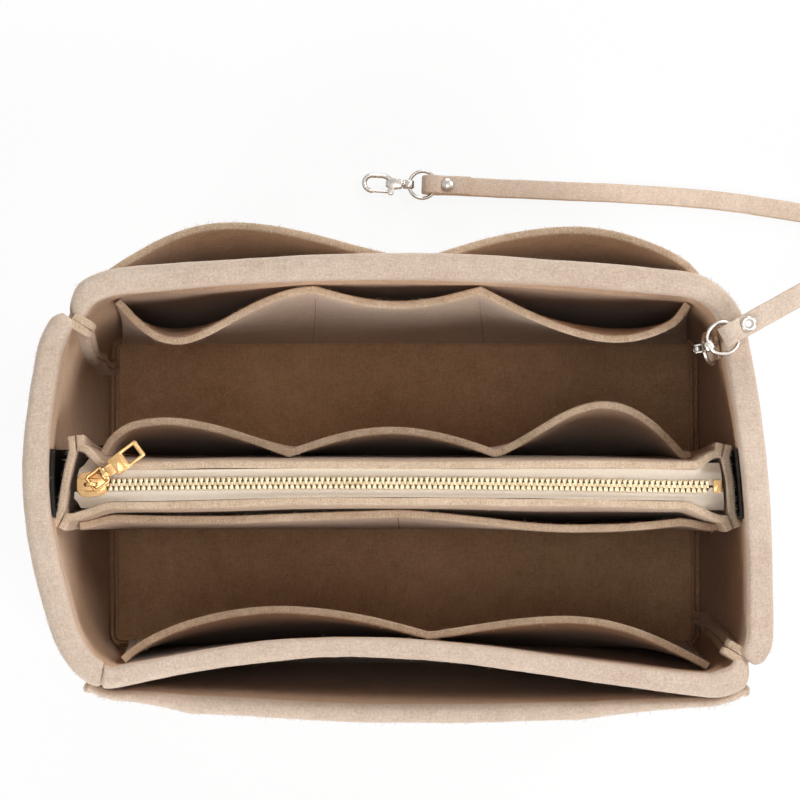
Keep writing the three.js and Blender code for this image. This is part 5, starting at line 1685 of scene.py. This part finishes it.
lint = piece("floor_lint", joined(*hairs), pale_hair)
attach(lint, "box")

# Stage: a white sweep that the insert stands on, with soft lamps all round it and a weak one above.
# The floor is white to the camera and still takes the insert's shadow.
bpy.context.scene.view_settings.view_transform = "Standard"
world = bpy.data.worlds.new("studio")
bpy.context.scene.world = world
world.use_nodes = True
air = world.node_tree
glow = air.nodes["Background"]
RAYS = ("Is Camera Ray", "Is Glossy Ray", "Is Transmission Ray")
sky, glossy, clear = [Shade(air).node("ShaderNodeLightPath", out=ray) for ray in RAYS]
seen = sky.sum("MINIMUM", sky + glossy + clear, 1.0)
AMBIENT = 0.02
dress(glow, Color=(1, 1, 1, 1), Strength=AMBIENT + (1 - AMBIENT) * seen)

white = bpy.data.materials.new("white_floor")
white.use_nodes = True
paper = white.node_tree
paper.nodes.remove(paper.nodes["Principled BSDF"])
path_kind = Shade(paper).node("ShaderNodeLightPath", out="Is Camera Ray")
lit = path_kind.node("ShaderNodeBsdfDiffuse", {}, {"Color": (0.9, 0.9, 0.9, 1)})
bright = path_kind.node("ShaderNodeEmission", {}, {"Color": (1, 1, 1, 1), "Strength": 1.0})
shown = path_kind.node("ShaderNodeMixShader", {}, {0: path_kind * 0.9, 1: lit, 2: bright})
paper.links.new(shown.socket, paper.nodes["Material Output"].inputs["Surface"])
SWEEP = 4
SWEEP_DROP = 0.0005
sweep = bpy.data.meshes.new("sweep")
sweep_corners = [(x * SWEEP, y * SWEEP, -SWEEP_DROP) for x, y in ((-1, -1), (1, -1), (1, 1), (-1, 1))]
sweep.from_pydata(sweep_corners, [], [(0, 1, 2, 3)])
sweep.materials.append(white)
floor = bpy.data.objects.new("sweep", sweep)
bpy.context.collection.objects.link(floor)


LAMP_AIM = Vector((0, 0, 0.12))
LAMPS = (
    ("front_left", (-1.14, -1.14, 0.65), 0.8, 18.5),
    ("front_right", (0.89, -0.89, 1.26), 0.8, 17.5),
    ("back", (0, 1.62, 0.65), 0.8, 16.5),
    ("right", (1.13, 0.65, 1.21), 0.8, 13),
    ("above", (0, -0.1, 1.9), 0.6, 4),
)
for name, place, width, watts in LAMPS:
    light = bpy.data.lights.new(name, "AREA")
    light.shape = "DISK"
    light.size = width
    light.energy = watts
    lamp = bpy.data.objects.new(name, light)
    lamp.location = place
    lamp.rotation_euler = (LAMP_AIM - Vector(place)).to_track_quat("-Z", "Y").to_euler()
    bpy.context.collection.objects.link(lamp)

view = bpy.data.cameras.new("photo_view")
view.sensor_width = 36
view.lens = 115.2
view.shift_x = -0.01875
camera = bpy.data.objects.new("photo_view", view)
camera.location = (0.00663, -0.01777, 1.12)
camera.rotation_euler = (math.radians(2.57), 0, 0)
bpy.context.collection.objects.link(camera)
bpy.context.scene.camera = camera
